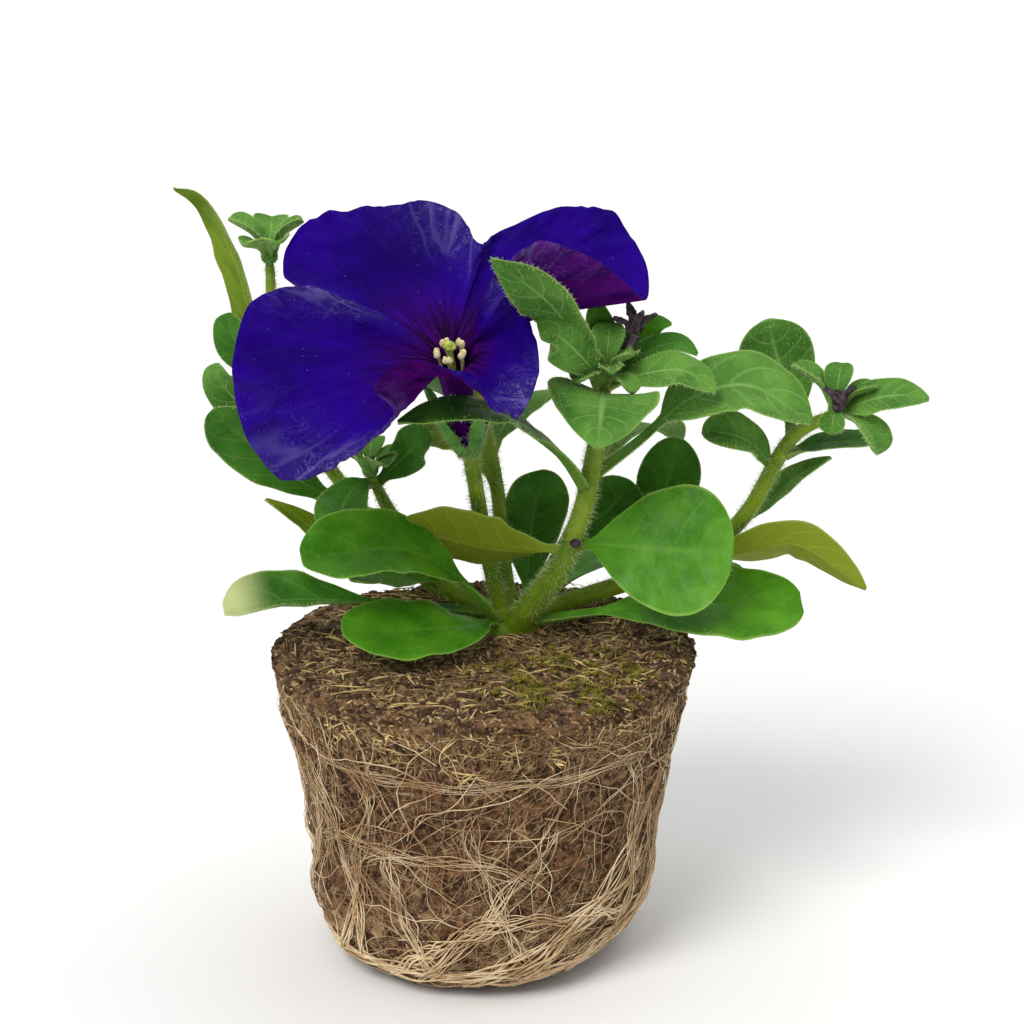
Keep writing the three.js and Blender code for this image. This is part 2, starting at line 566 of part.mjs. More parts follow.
// Flower: a funnel with five joined lobes. The limb is drawn by spokes from the throat,
// in order round the rim. Each has a turn where it leaves the throat, in degrees, a point
// on the rim and one half way in.
const spokes = [
  { turn: 49, rim: [31.5, -4, 136.5], half: [13, -5.4, 133.8] },
  { turn: 54, rim: [32, 6, 141.5], half: [15.6, 1.3, 138.2] },
  { turn: 60, rim: [25.7, 17, 149], half: [12.5, 4, 142] },
  { turn: 68, rim: [15.4, 17, 150], half: [6.4, 4, 140.8] },
  { turn: 77, rim: [3.5, 10, 146.8], half: [-0.4, 0, 138.3] },
  { turn: 83, rim: [-0.6, 4, 145.3], half: [-3.2, -4, 137.8] },
  { turn: 91, rim: [-4.4, 12, 149.6], half: [-5.6, 0, 138.7] },
  { turn: 98, rim: [-11.4, 16, 151.8], half: [-8.9, 2, 139.8] },
  { turn: 107, rim: [-19.5, 16, 150.6], half: [-13.1, 3, 140.2] },
  { turn: 119, rim: [-31.1, 15, 149.4], half: [-18.9, 3, 139] },
  { turn: 129, rim: [-37.6, 7, 145.7], half: [-21.7, 0, 137.3] },
  { turn: 138, rim: [-37.9, -1, 140.5], half: [-22.5, -5, 135.5] },
  { turn: 147, rim: [-27, -10, 138.1], half: [-16.4, -13, 134.1] },
  { turn: 160, rim: [-34.3, -14, 141.7], half: [-18.2, -17, 133.5] },
  { turn: 170, rim: [-43.5, -18, 139], half: [-24.4, -18, 132.8] },
  { turn: 192, rim: [-45.9, -30, 130.1], half: [-25.5, -24, 128.5] },
  { turn: 209, rim: [-43.4, -38, 119.5], half: [-25.3, -29, 124.1] },
  { turn: 224, rim: [-35.9, -43, 111.8], half: [-23.2, -34, 119.7] },
  { turn: 234, rim: [-24.7, -42, 115.3], half: [-17.6, -34, 120.6] },
  { turn: 240, rim: [-16.5, -38, 122.1], half: [-12.7, -31, 124] },
  { turn: 245, rim: [-19, -38, 127.8], half: [-11.6, -29, 127.3] },
  { turn: 253, rim: [-14.5, -40, 133.1], half: [-9.3, -31, 128.6] },
  { turn: 265, rim: [-8.7, -38, 133.1], half: [-7, -30, 128.4] },
  { turn: 286, rim: [-1.1, -36, 127.5], half: [-3.4, -29, 128.5] },
  { turn: 305, rim: [6, -34, 121], half: [0.2, -27, 125.5] },
  { turn: 331, rim: [9.8, -26, 123.8], half: [2.5, -23, 126.3] },
  { turn: 355, rim: [11, -19, 128.2], half: [4, -20, 129] },
  { turn: 18, rim: [8.9, -11.7, 135.2], half: [3.6, -16.9, 133] },
  { turn: 28, rim: [5.1, -14.6, 140.6], half: [1.1, -19.8, 135.8] },
  { turn: 36, rim: [2.7, -9, 142.2], half: [-0.3, -12.5, 136] },
  { turn: 41, rim: [11.2, -7.6, 148.6], half: [5.1, -9.4, 138] },
  { turn: 45, rim: [22.6, -9, 144.9], half: [8.9, -7.5, 136.1] },
];
const tubeRings = [
  { depth: tubeLength, radius: 2.0 },
  { depth: 13, radius: 2.4 },
  { depth: 5.5, radius: 2.9 },
  { depth: 1, radius: 4.4 },
];
const limbSteps = [3, 3.3, 3.7, 4.2, 4.6, 5];

function buildCorolla(grow) {
  const columns = 54;
  const loop = (key) => new THREE.CatmullRomCurve3(spokes.map((s) => vector(s[key])), true, 'catmullrom', 0.4);
  const rim = loop('rim');
  const half = loop('half');
  const turnAt = (place) => {
    const first = Math.floor(place);
    const [from, to] = [spokes[first].turn, spokes[(first + 1) % spokes.length].turn];
    const ahead = THREE.MathUtils.euclideanModulo(to - from, 360);
    return THREE.MathUtils.degToRad(from + ahead * (place - first));
  };
  const upper = tubeRings.slice(0, 3).concat(limbSteps).map(() => []);
  for (let column = 0; column < columns; column += 1) {
    const t = (1 - column / columns) % 1;
    const halfPoint = half.getPoint(t);
    const rimPoint = rim.getPoint(t);
    const turn = turnAt(t * spokes.length);
    const rings = tubeRings.map(({ depth, radius }) => onAxis(depth, radius, turn));
    const spoke = smoothPath([...rings, halfPoint, rimPoint]);
    const stations = [0, 1, 2, ...limbSteps];
    stations.forEach((station, row) => upper[row].push(spoke.getPoint(station / 5)));
  }
  const rows = upper.length;
  const lower = upper.map((line, row) => line.map((point, column) => {
    const before = upper[row][(column + columns - 1) % columns];
    const after = upper[row][(column + 1) % columns];
    const inner = upper[Math.max(0, row - 1)][column];
    const outer = upper[Math.min(rows - 1, row + 1)][column];
    const normal = after.clone().sub(before).cross(outer.clone().sub(inner)).normalize();
    const lowered = point.clone().addScaledVector(normal, -petalThickness - grow);
    point.addScaledVector(normal, grow);
    return lowered;
  }));
  return toSolid(sheetGeometry(upper, lower, true));
}

// Calyx: a cup at the foot of the tube, and five narrow sepals that stand round it.
function buildCalyx(grow) {
  const cup = tubeSolid([onAxis(tubeLength + calyxDepth), onAxis(tubeLength + 2), onAxis(tubeLength + gap)],
    [1.9, 2.7, 3.3], { sides: 8, steps: 3, grow });
  const parts = [cup];
  for (let k = 0; k < 5; k += 1) {
    const turn = (2 * Math.PI * k) / 5 + 0.3;
    const path = [onAxis(tubeLength + 2, 2, turn), onAxis(tubeLength - 5, 4.6, turn), onAxis(tubeLength - 13, 6.6, turn)];
    const face = onAxis(0, 1, turn).sub(vector(throat)).negate();
    parts.push(bladeSolid({ kind: 'sepal', width: 3.6, face, path, stalk: 0.9 }, { rows: 3, columns: 3, grow }));
  }
  return fuse(parts);
}

function buildPistil() {
  const style = tubeSolid([onAxis(tubeLength), onAxis(12), onAxis(-1.2)], [0.9, 0.55, 0.5], { sides: 5, steps: 5 });
  return fuse([style, ballSolid(onAxis(-1.8), [1.25, 1.1, 0.9], 0, 8)]);
}

function buildStamens() {
  const foot = new THREE.TorusGeometry(1.35, 0.3, 3, 9);
  foot.applyQuaternion(new THREE.Quaternion().setFromUnitVectors(new THREE.Vector3(0, 0, 1), axis));
  const place = onAxis(tubeLength - 1.2);
  foot.translate(place.x, place.y, place.z);
  const parts = [toSolid(foot)];
  for (let k = 0; k < 5; k += 1) {
    const turn = (2 * Math.PI * k) / 5 - 0.5;
    const filament = [onAxis(tubeLength - 1.2, 1.35, turn), onAxis(12, 1.55, turn), onAxis(-0.2, 2.5, turn)];
    parts.push(tubeSolid(filament, [0.35, 0.35, 0.38], { sides: 3, steps: 3 }));
    parts.push(ballSolid(onAxis(-0.6, 2.6, turn), [1.1, 0.9, 0.9]));
  }
  return fuse(parts);
}

// Dry buds: the dark shrivelled sepals of a spent flower on a short stalk.
const dryBuds = [
  { name: 'dry_bud_front', path: [[24.6, -2, 121], [28, -0.5, 125], [29.8, 0, 128.5]], turn: 20, length: 6 },
  { name: 'dry_bud_right', path: [[69.9, 2, 113.2], [70.2, -0.4, 114.2]], turn: -85, length: 4 },
];

function buildDryBud({ path, turn, length }) {
  const points = path.map(vector);
  const top = points[points.length - 1];
  const parts = [tubeSolid(points, [0.8, 1.3], { sides: 5, steps: 2 })];
  for (let k = 0; k < 4; k += 1) {
    const lean = [turn + 90 * k, 48 + 12 * (k % 2), length + (k % 2), 1.7];
    parts.push(bladeSolid(sprayBlade(top, lean, 'sepal'), { rows: 2, columns: 3 }));
  }
  return fuse(parts);
}

function buildScar() {
  return ballSolid(new THREE.Vector3(18.4, -1.6, 86.2), [1.1, 1.2, 1.0]);
}

// Assembly: each piece keeps a small gap to those placed before it.
const group = new THREE.Group();
const placed = [];

function addNode(name, solid, material) {
  const mesh = new THREE.Mesh(toGeometry(solid), material);
  mesh.name = name;
  group.add(mesh);
}

function clearOfPlaced(solid) {
  const cut = placed.reduce((rest, other) => rest.subtract(other), solid);
  return largestPiece(cut);
}

addNode('peat_block', buildPeatBlock(), materials.peat);
addNode('root_net', buildRootNet(), materials.root);
addNode('stems', buildStems(0), materials.stem);
placed.push(buildStems(gap));

addNode('corolla', buildCorolla(0), materials.petal);
addNode('pistil', buildPistil(), materials.stigma);
addNode('stamens', clearOfPlaced(buildStamens()), materials.anther);
addNode('calyx', clearOfPlaced(buildCalyx(0)), finish(leafGreen, 0.7));
placed.push(buildCorolla(gap), buildCalyx(gap));

for (const shoot of shootTips) {
  addNode(shoot.name, clearOfPlaced(buildShootTip(shoot, 0)), finish(leafPale, 0.7));
  placed.push(buildShootTip(shoot, gap));
}
for (const blade of leaves) {
  const grid = blade.width > 14 ? { rows: 6, columns: 5 } : { rows: 4, columns: 3 };
  addNode(blade.name, clearOfPlaced(bladeSolid(blade, grid)), finish(blade.color, 0.7));
  placed.push(bladeSolid(blade, { ...grid, grow: gap }));
}
for (const bud of dryBuds) {
  addNode(bud.name, clearOfPlaced(buildDryBud(bud)), materials.dry);
}
addNode('node_scar', clearOfPlaced(buildScar()), materials.dry);

export default group;
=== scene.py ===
import math

import bpy
import numpy as np
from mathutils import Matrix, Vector, noise


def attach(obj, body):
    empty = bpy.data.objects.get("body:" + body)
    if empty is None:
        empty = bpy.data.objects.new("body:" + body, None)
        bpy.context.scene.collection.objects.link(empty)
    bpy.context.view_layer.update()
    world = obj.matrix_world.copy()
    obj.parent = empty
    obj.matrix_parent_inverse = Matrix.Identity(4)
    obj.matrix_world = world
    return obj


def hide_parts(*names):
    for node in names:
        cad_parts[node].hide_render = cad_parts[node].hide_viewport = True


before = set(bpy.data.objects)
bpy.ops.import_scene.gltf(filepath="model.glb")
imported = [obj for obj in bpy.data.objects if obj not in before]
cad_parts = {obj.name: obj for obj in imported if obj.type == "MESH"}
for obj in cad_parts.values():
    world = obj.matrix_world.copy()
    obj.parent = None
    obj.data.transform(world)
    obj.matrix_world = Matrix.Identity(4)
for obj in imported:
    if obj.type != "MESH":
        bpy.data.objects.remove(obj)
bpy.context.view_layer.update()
mm = 0.001
print("frame loaded")


def unit(v):
    v = np.asarray(v, float)
    return v / np.maximum(np.linalg.norm(v, axis=-1, keepdims=True), 1e-12)


def smoothStep(low, high, x):
    t = np.clip((np.asarray(x, float) - low) / (high - low), 0, 1)
    return t * t * (3 - 2 * t)


def hermite(p0, p1, p2, p3, w, tension):
    a = (p2 - p0) * tension
    b = (p3 - p1) * tension
    return (2 * p1 - 2 * p2 + a + b) * w ** 3 + (-3 * p1 + 3 * p2 - 2 * a - b) * w ** 2 + a * w + p1


def openCurve(points, t, tension=0.5):
    p = np.asarray(points, float)
    p = np.vstack([2 * p[0] - p[1], p, 2 * p[-1] - p[-2]])
    place = np.clip(np.asarray(t, float), 0, 1) * (len(p) - 3)
    i = np.minimum(place.astype(int), len(p) - 4)
    w = (place - i)[:, None]
    return hermite(p[i], p[i + 1], p[i + 2], p[i + 3], w, tension)


def closedCurve(points, t, tension=0.4):
    p = np.asarray(points, float)
    n = len(p)
    place = (np.asarray(t, float) % 1) * n
    i = place.astype(int)
    w = (place - i)[:, None]
    return hermite(p[(i - 1) % n], p[i % n], p[(i + 1) % n], p[(i + 2) % n], w, tension)


class Path:
    # a smooth path measured by its length
    def __init__(self, points):
        self.p = openCurve(points, np.linspace(0, 1, 321))
        steps = np.linalg.norm(np.diff(self.p, axis=0), axis=1)
        self.s = np.concatenate([[0], np.cumsum(steps)])
        self.length = self.s[-1]

    def at(self, u):
        x = np.asarray(u, float) * self.length
        return np.stack([np.interp(x, self.s, self.p[:, k]) for k in range(3)], -1)

    def tangent(self, u):
        u = np.asarray(u, float)
        return unit(self.at(np.minimum(u + 0.004, 1)) - self.at(np.maximum(u - 0.004, 0)))


def heading(turn, rise):
    a, b = math.radians(turn), math.radians(rise)
    return np.array([math.cos(b) * math.cos(a), math.cos(b) * math.sin(a), math.sin(b)])


def grain(points, size, seed=0.0, octaves=3):
    # smooth noise about 0 at each point, size in mm
    shift = Vector((seed, seed * 1.7, -seed))
    return np.array([noise.fractal(Vector(p) / size + shift, 1.0, 2.0, octaves) for p in points])


def addObject(name, data):
    obj = bpy.data.objects.new(name, data)
    bpy.context.scene.collection.objects.link(obj)
    return obj


def setValues(mesh, key, values):
    layer = mesh.attributes.new(key, "FLOAT", "POINT")
    layer.data.foreach_set("value", np.asarray(values, np.float32))


def makeMesh(name, points, faces, attributes=None, uv=None, smooth=True):
    name = name.replace("_", " ")
    mesh = bpy.data.meshes.new(name)
    mesh.from_pydata((np.asarray(points) * mm).tolist(), [], [list(map(int, f)) for f in faces])
    for key, values in (attributes or {}).items():
        setValues(mesh, key, values)
    if uv is not None:
        layer = mesh.uv_layers.new(name="UVMap")
        corners = np.empty(len(mesh.loops), np.int32)
        mesh.loops.foreach_get("vertex_index", corners)
        layer.data.foreach_set("uv", np.asarray(uv, np.float32)[corners].ravel())
    mesh.polygons.foreach_set("use_smooth", [smooth] * len(mesh.polygons))
    mesh.update()
    return addObject(name, mesh)


def finishPiece(obj, material, nodes=()):
    obj.name = obj.name.replace(" ", "_")
    if material is not None:
        obj.data.materials.clear()
        obj.data.materials.append(material)
    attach(obj, "root")
    if nodes:
        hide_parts(*nodes)
    return obj


def gridFaces(rows, columns, wrap=False, flip=False, start=0):
    last = columns if wrap else columns - 1
    r, c = np.meshgrid(np.arange(rows - 1), np.arange(last), indexing="ij")
    n = (c + 1) % columns
    quads = np.stack([r * columns + c, r * columns + n, (r + 1) * columns + n, (r + 1) * columns + c], -1)
    quads = quads.reshape(-1, 4) + start
    return quads[:, ::-1] if flip else quads


def closedSheet(upper, lower, wrap=False):
    # two grids of points joined round their border
    rows, columns = upper.shape[:2]
    under = rows * columns
    faces = [gridFaces(rows, columns, wrap), gridFaces(rows, columns, wrap, True, under)]
    border = []
    if not wrap:
        for r in range(rows - 1):
            a, b = r * columns, (r + 1) * columns
            border.append((a, b, under + b, under + a))
            a, b = a + columns - 1, b + columns - 1
            border.append((b, a, under + a, under + b))
    for c in range(columns if wrap else columns - 1):
        n = (c + 1) % columns
        border.append((n, c, under + c, under + n))
        a, b = (rows - 1) * columns + c, (rows - 1) * columns + n
        border.append((a, b, under + b, under + a))
    points = np.concatenate([upper.reshape(-1, 3), lower.reshape(-1, 3)])
    return points, np.vstack(faces + [np.array(border)])


def poleFaces(low, first, high, last, sides):
    # triangles from two poles to the first and the last ring
    faces = []
    for s in range(sides):
        n = (s + 1) % sides
        faces += [[low, first + n, first + s], [high, last + s, last + n]]
    return faces


def sweep(points, radii, sides, steps):
    # a round bar along a path, closed with a shallow dome at each end
    path = Path(points)
    along = np.linspace(0, 1, steps + 1)
    centre, forward = path.at(along), path.tangent(along)
    radius = np.interp(along, np.linspace(0, 1, len(radii)), radii)
    turn = np.arange(sides) * 2 * math.pi / sides
    side = unit(np.cross([0.1, 1, 0], forward[0]))
    rings = []
    for k in range(steps + 1):
        side = unit(side - forward[k] * (side @ forward[k]))
        across = np.cross(forward[k], side)
        ring = centre[k] + (radius[k] * np.cos(turn))[:, None] * side
        rings.append(ring + (radius[k] * np.sin(turn))[:, None] * across)
    verts = np.concatenate(rings + [[centre[0] - forward[0] * radius[0] * 0.4],
                                    [centre[-1] + forward[-1] * radius[-1] * 0.4]])
    low = (steps + 1) * sides
    faces = [list(f) for f in gridFaces(steps + 1, sides, True)]
    return verts, faces + poleFaces(low, 0, low + 1, steps * sides, sides)


def ball(centre, radii, rings, sides):
    turn = np.arange(sides) * 2 * math.pi / sides
    verts = [np.array([0, 0, -1.0])]
    for r in range(1, rings):
        a = math.pi * r / rings - math.pi / 2
        verts.append(np.stack([math.cos(a) * np.cos(turn), math.cos(a) * np.sin(turn),
                               np.full(sides, math.sin(a))], -1))
    verts.append(np.array([0, 0, 1.0]))
    verts = np.vstack(verts) * np.asarray(radii) + np.asarray(centre)
    top = len(verts) - 1
    faces = [list(f) for f in gridFaces(rings - 1, sides, True, False, 1)]
    return verts, faces + poleFaces(0, 1, top, top - sides, sides)


def joinParts(parts):
    # parts are (points, faces, {attribute: values})
    points, faces, values, count = [], [], {}, 0
    for p, f, a in parts:
        points.append(p)
        faces += [[int(i) + count for i in face] for face in f]
        for key in a:
            values.setdefault(key, []).append(np.broadcast_to(a[key], len(p)))
        count += len(p)
    return np.concatenate(points), faces, {k: np.concatenate(v) for k, v in values.items()}


class Shader:
    def __init__(self, name):
        self.material = bpy.data.materials.new(name)
        self.material.use_nodes = True
        self.nodes = self.material.node_tree.nodes
        self.links = self.material.node_tree.links
        self.surface = self.nodes["Principled BSDF"]
        self.place = self.add("ShaderNodeTexCoord").outputs["Object"]

    def add(self, kind, inputs=None, **settings):
        node = self.nodes.new(kind)
        for key, value in settings.items():
            setattr(node, key, value)
        for key, value in (inputs or {}).items():
            self.feed(node.inputs[key], value)
        return node

    def feed(self, socket, value):
        if isinstance(value, bpy.types.NodeSocket):
            self.links.new(value, socket)
        else:
            socket.default_value = value

    def value(self, name):
        return self.add("ShaderNodeAttribute", attribute_name=name).outputs["Fac"]

    def math(self, operation, a, b=0.0):
        return self.add("ShaderNodeMath", {0: a, 1: b}, operation=operation).outputs[0]

    def times(self, a, b):
        return self.math("MULTIPLY", a, b)

    def ramp(self, x, low, high, start=0.0, end=1.0):
        node = self.add("ShaderNodeMapRange", {"Value": x, "From Min": low, "From Max": high, "To Min": start,
                                               "To Max": end}, interpolation_type="SMOOTHSTEP")
        return node.outputs["Result"]

    def noise(self, size, detail=4.0, rough=0.55, where=None, distortion=0.0):
        node = self.add("ShaderNodeTexNoise", {"Vector": where or self.place, "Scale": 1000.0 / size,
                                               "Detail": detail, "Roughness": rough,
                                               "Distortion": distortion})
        return node.outputs["Fac"]

    def cells(self, size, feature="F1", randomness=1.0):
        node = self.add("ShaderNodeTexVoronoi", {"Vector": self.place, "Scale": 1000.0 / size,
                                                 "Randomness": randomness}, feature=feature)
        return node.outputs["Distance"]

    def mix(self, share, a, b):
        return self.add("ShaderNodeMix", {0: share, 6: a, 7: b}, data_type="RGBA").outputs[2]

    def bump(self, height, strength, distance, after=None):
        node = self.add("ShaderNodeBump", {"Height": height, "Strength": strength, "Distance": distance * mm})
        if after is not None:
            self.links.new(after, node.inputs["Normal"])
        return node.outputs["Normal"]

    def set(self, **sockets):
        for key, value in sockets.items():
            self.feed(self.surface.inputs[key.replace("_", " ")], value)


def colour(r, g, b):
    # from screen values 0 to 255
    def linear(c):
        c /= 255
        return c / 12.92 if c <= 0.04045 else ((c + 0.055) / 1.055) ** 2.4
    return (linear(r), linear(g), linear(b), 1.0)


class Tree:
    def __init__(self, name, inputs):
        self.tree = bpy.data.node_groups.new(name, "GeometryNodeTree")
        face = self.tree.interface
        face.new_socket("Geometry", in_out="INPUT", socket_type="NodeSocketGeometry")
        for label, kind, value in inputs:
            socket = face.new_socket(label, in_out="INPUT", socket_type="NodeSocket" + kind)
            if value is not None:
                socket.default_value = value
        face.new_socket("Geometry", in_out="OUTPUT", socket_type="NodeSocketGeometry")
        self.given = self.tree.nodes.new("NodeGroupInput").outputs
        self.result = self.tree.nodes.new("NodeGroupOutput").inputs[0]

    def add(self, kind, inputs=None, **settings):
        node = self.tree.nodes.new(kind)
        for key, value in settings.items():
            setattr(node, key, value)
        for key, value in (inputs or {}).items():
            if isinstance(value, bpy.types.NodeSocket):
                self.tree.links.new(value, node.inputs[key])
            else:
                node.inputs[key].default_value = value
        return node.outputs

    def math(self, operation, a, b):
        return self.add("ShaderNodeMath", {0: a, 1: b}, operation=operation)[0]

    def named(self, name):
        return self.add("GeometryNodeInputNamedAttribute", {"Name": name}, data_type="FLOAT")["Attribute"]

    def spread(self, mask):
        density = self.math("MULTIPLY", mask, self.given["Density"])
        return self.add("GeometryNodeDistributePointsOnFaces",
                        {"Mesh": self.given["Geometry"], "Density": density, "Seed": self.given["Seed"]},
                        distribute_method="RANDOM")

    def finish(self, geometry):
        real = self.add("GeometryNodeRealizeInstances", {"Geometry": geometry})["Geometry"]
        shown = self.add("GeometryNodeSetMaterial", {"Geometry": real, "Material": self.given["Material"]})
        self.tree.links.new(shown["Geometry"], self.result)
        return self.tree


def freeze(base, name):
    # replaces an object by a plain mesh of what its modifiers make
    graph = bpy.context.evaluated_depsgraph_get()
    mesh = bpy.data.meshes.new_from_object(base.evaluated_get(graph), depsgraph=graph)
    base.modifiers.clear()
    bpy.data.objects.remove(base)
    mesh.name = name
    return addObject(name, mesh)


def grow(base, tree, values, name):
    # runs a node tree on an object, with its inputs given by name
    modifier = base.modifiers.new(tree.name, "NODES")
    modifier.node_group = tree
    for item in tree.interface.items_tree:
        if item.item_type == "SOCKET" and item.in_out == "INPUT" and item.name in values:
            modifier[item.identifier] = values[item.name]
    return freeze(base, name)


def hairTree():
    t = Tree("hairs", [("Density", "Float", 1.0), ("Length", "Float", 0.001), ("Thickness", "Float", 0.00005),
                       ("Spread", "Float", 0.5), ("Seed", "Int", 1), ("Material", "Material", None)])
    spread, thickness = t.given["Spread"], t.given["Thickness"]
    points = t.spread(t.named("hair"))
    cone = t.add("GeometryNodeMeshCone", {"Vertices": 3, "Radius Top": 0.0, "Radius Bottom": 1.0, "Depth": 1.0})
    down = t.math("MULTIPLY", spread, -1.0)
    low = t.add("ShaderNodeCombineXYZ", {0: down, 1: down, 2: down})[0]
    high = t.add("ShaderNodeCombineXYZ", {0: spread, 1: spread, 2: spread})[0]
    lean = t.add("FunctionNodeRandomValue", {0: low, 1: high, "Seed": 3}, data_type="FLOAT_VECTOR")[0]
    outward = t.add("ShaderNodeVectorMath", {0: points["Normal"], 1: lean}, operation="ADD")[0]
    aim = t.add("FunctionNodeAlignRotationToVector", {"Vector": outward}, axis="Z")["Rotation"]
    share = t.add("FunctionNodeRandomValue", {2: 0.45, 3: 1.1, "Seed": 5}, data_type="FLOAT")[1]
    long = t.math("MULTIPLY", share, t.given["Length"])
    size = t.add("ShaderNodeCombineXYZ", {0: thickness, 1: thickness, 2: long})[0]
    hairs = t.add("GeometryNodeInstanceOnPoints", {"Points": points["Points"], "Instance": cone["Mesh"],
                                                  "Rotation": aim, "Scale": size})["Instances"]
    return t.finish(hairs)


def scatterTree():
    t = Tree("scatter", [("Shape", "Object", None), ("Mask", "String", "wall"), ("Density", "Float", 1.0),
                         ("Small", "Float", 0.5), ("Large", "Float", 1.0), ("Lean", "Float", 0.3),
                         ("Seed", "Int", 1), ("Material", "Material", None)])
    points = t.spread(t.named(t.given["Mask"]))
    shape = t.add("GeometryNodeObjectInfo", {"Object": t.given["Shape"]})["Geometry"]
    turn = t.add("FunctionNodeRandomValue", {0: (-1, -1, -3.2), 1: (1, 1, 3.2), "Seed": 11},
                 data_type="FLOAT_VECTOR")[0]
    tilt = t.add("ShaderNodeCombineXYZ", {0: t.given["Lean"], 1: t.given["Lean"], 2: 1.0})[0]
    spin = t.add("ShaderNodeVectorMath", {0: turn, 1: tilt}, operation="MULTIPLY")[0]
    spin = t.add("FunctionNodeEulerToRotation", {0: spin})[0]
    aim = t.add("FunctionNodeRotateRotation", {0: points["Rotation"], 1: spin}, rotation_space="LOCAL")[0]
    size = t.add("FunctionNodeRandomValue", {2: t.given["Small"], 3: t.given["Large"], "Seed": 13},
                 data_type="FLOAT")[1]
    copies = t.add("GeometryNodeInstanceOnPoints", {"Points": points["Points"], "Instance": shape,
                                                   "Rotation": aim, "Scale": size})["Instances"]
    return t.finish(copies)


def strandTree():
    t = Tree("strands", [("Sides", "Int", 5), ("Material", "Material", None)])
    lines = t.add("GeometryNodeMeshToCurve", {0: t.given["Geometry"]})[0]
    ring = t.add("GeometryNodeCurvePrimitiveCircle", {"Resolution": t.given["Sides"], "Radius": 1.0})["Curve"]
    bars = t.add("GeometryNodeCurveToMesh", {"Curve": lines, "Profile Curve": ring, "Fill Caps": True,
                                             "Scale": t.named("thickness")})[0]
    return t.finish(t.add("GeometryNodeSetShadeSmooth", {0: bars})[0])


hairs, scatter, strands = hairTree(), scatterTree(), strandTree()
print("node trees ready")

leafTones = {
    "leaf_green": {"top": (50, 110, 12), "light": (86, 146, 30), "under": (100, 146, 46), "vein": (112, 166, 54),
                   "rough": 0.4, "velvet": 0.03, "veining": 0.3},
    "leaf_dark": {"top": (38, 88, 18), "light": (66, 122, 34), "under": (84, 126, 46), "vein": (104, 150, 62),
                  "rough": 0.46, "velvet": 0.06, "veining": 0.5},
    "leaf_pale": {"top": (58, 106, 34), "light": (96, 144, 58), "under": (100, 142, 66), "vein": (132, 174, 94),
                  "rough": 0.65, "velvet": 0.2, "veining": 0.75},
    "leaf_olive": {"top": (78, 108, 18), "light": (116, 142, 34), "under": (122, 138, 34), "vein": (166, 170, 60),
                   "rough": 0.42, "velvet": 0.06, "veining": 0.5},
}


def leafSkin(name, tone):
    s = Shader(name)
    across, along = s.value("across"), s.value("along")
    reach = s.math("ABSOLUTE", across)
    mottle = s.ramp(s.noise(9.0, 4.0, 0.55), 0.3, 0.75)
    skin = s.mix(mottle, colour(*tone["top"]), colour(*tone["light"]))
    skin = s.mix(s.times(s.ramp(s.noise(1.1, 3.0), 0.45, 0.75), 0.35), skin, colour(*tone["light"]))
    bow = s.times(s.math("POWER", reach, 1.4), 1.35)
    ladder = s.math("FRACT", s.math("SUBTRACT", s.times(along, 7.0), bow))
    lateral = s.ramp(s.math("ABSOLUTE", s.math("SUBTRACT", ladder, 0.5)), 0.0, 0.09, 1.0, 0.0)
    lateral = s.times(lateral, s.ramp(reach, 0.72, 0.95, 0.5, 0.0))
    midrib = s.ramp(reach, 0.015, 0.085, 1.0, 0.0)
    midrib = s.times(midrib, s.ramp(along, 0.6, 0.98, 0.85, 0.15))
    veins = s.math("MAXIMUM", lateral, midrib)
    skin = s.mix(s.times(veins, tone["veining"]), skin, colour(*tone["vein"]))
    under = s.mix(s.times(veins, 0.6), colour(*tone["under"]), colour(*tone["vein"]))
    skin = s.mix(s.value("under"), skin, under)
    margin = s.ramp(reach, 0.93, 0.995)
    skin = s.mix(s.times(margin, 0.5), skin, colour(150, 186, 88))
    foot = s.ramp(along, 0.0, 0.2, 0.6, 0.0)
    skin = s.mix(foot, skin, colour(116, 140, 44))
    # paler towards the tip, where the bleach value rises
    skin = s.mix(s.times(s.value("bleach"), 0.85), skin, colour(196, 206, 142))
    net = s.ramp(s.cells(1.3, "DISTANCE_TO_EDGE"), 0.0, 0.12)
    relief = s.math("SUBTRACT", s.times(net, 0.1), s.times(veins, tone["veining"]))
    normal = s.bump(s.noise(0.35, 3.0), 0.25, 0.05, s.bump(relief, 0.5, 0.25))
    rough = s.ramp(s.noise(2.4, 4.0), 0.3, 0.7, tone["rough"] - 0.07, tone["rough"] + 0.1)
    s.set(Base_Color=skin, Roughness=rough, Specular_IOR_Level=0.12,
          Sheen_Weight=tone["velvet"], Sheen_Roughness=0.45,
          Sheen_Tint=colour(186, 220, 140), Subsurface_Weight=0.06, Subsurface_Scale=0.002, Normal=normal)
    return s.material


leafSkins = {name: leafSkin(name.replace("_", " "), tone) for name, tone in leafTones.items()}


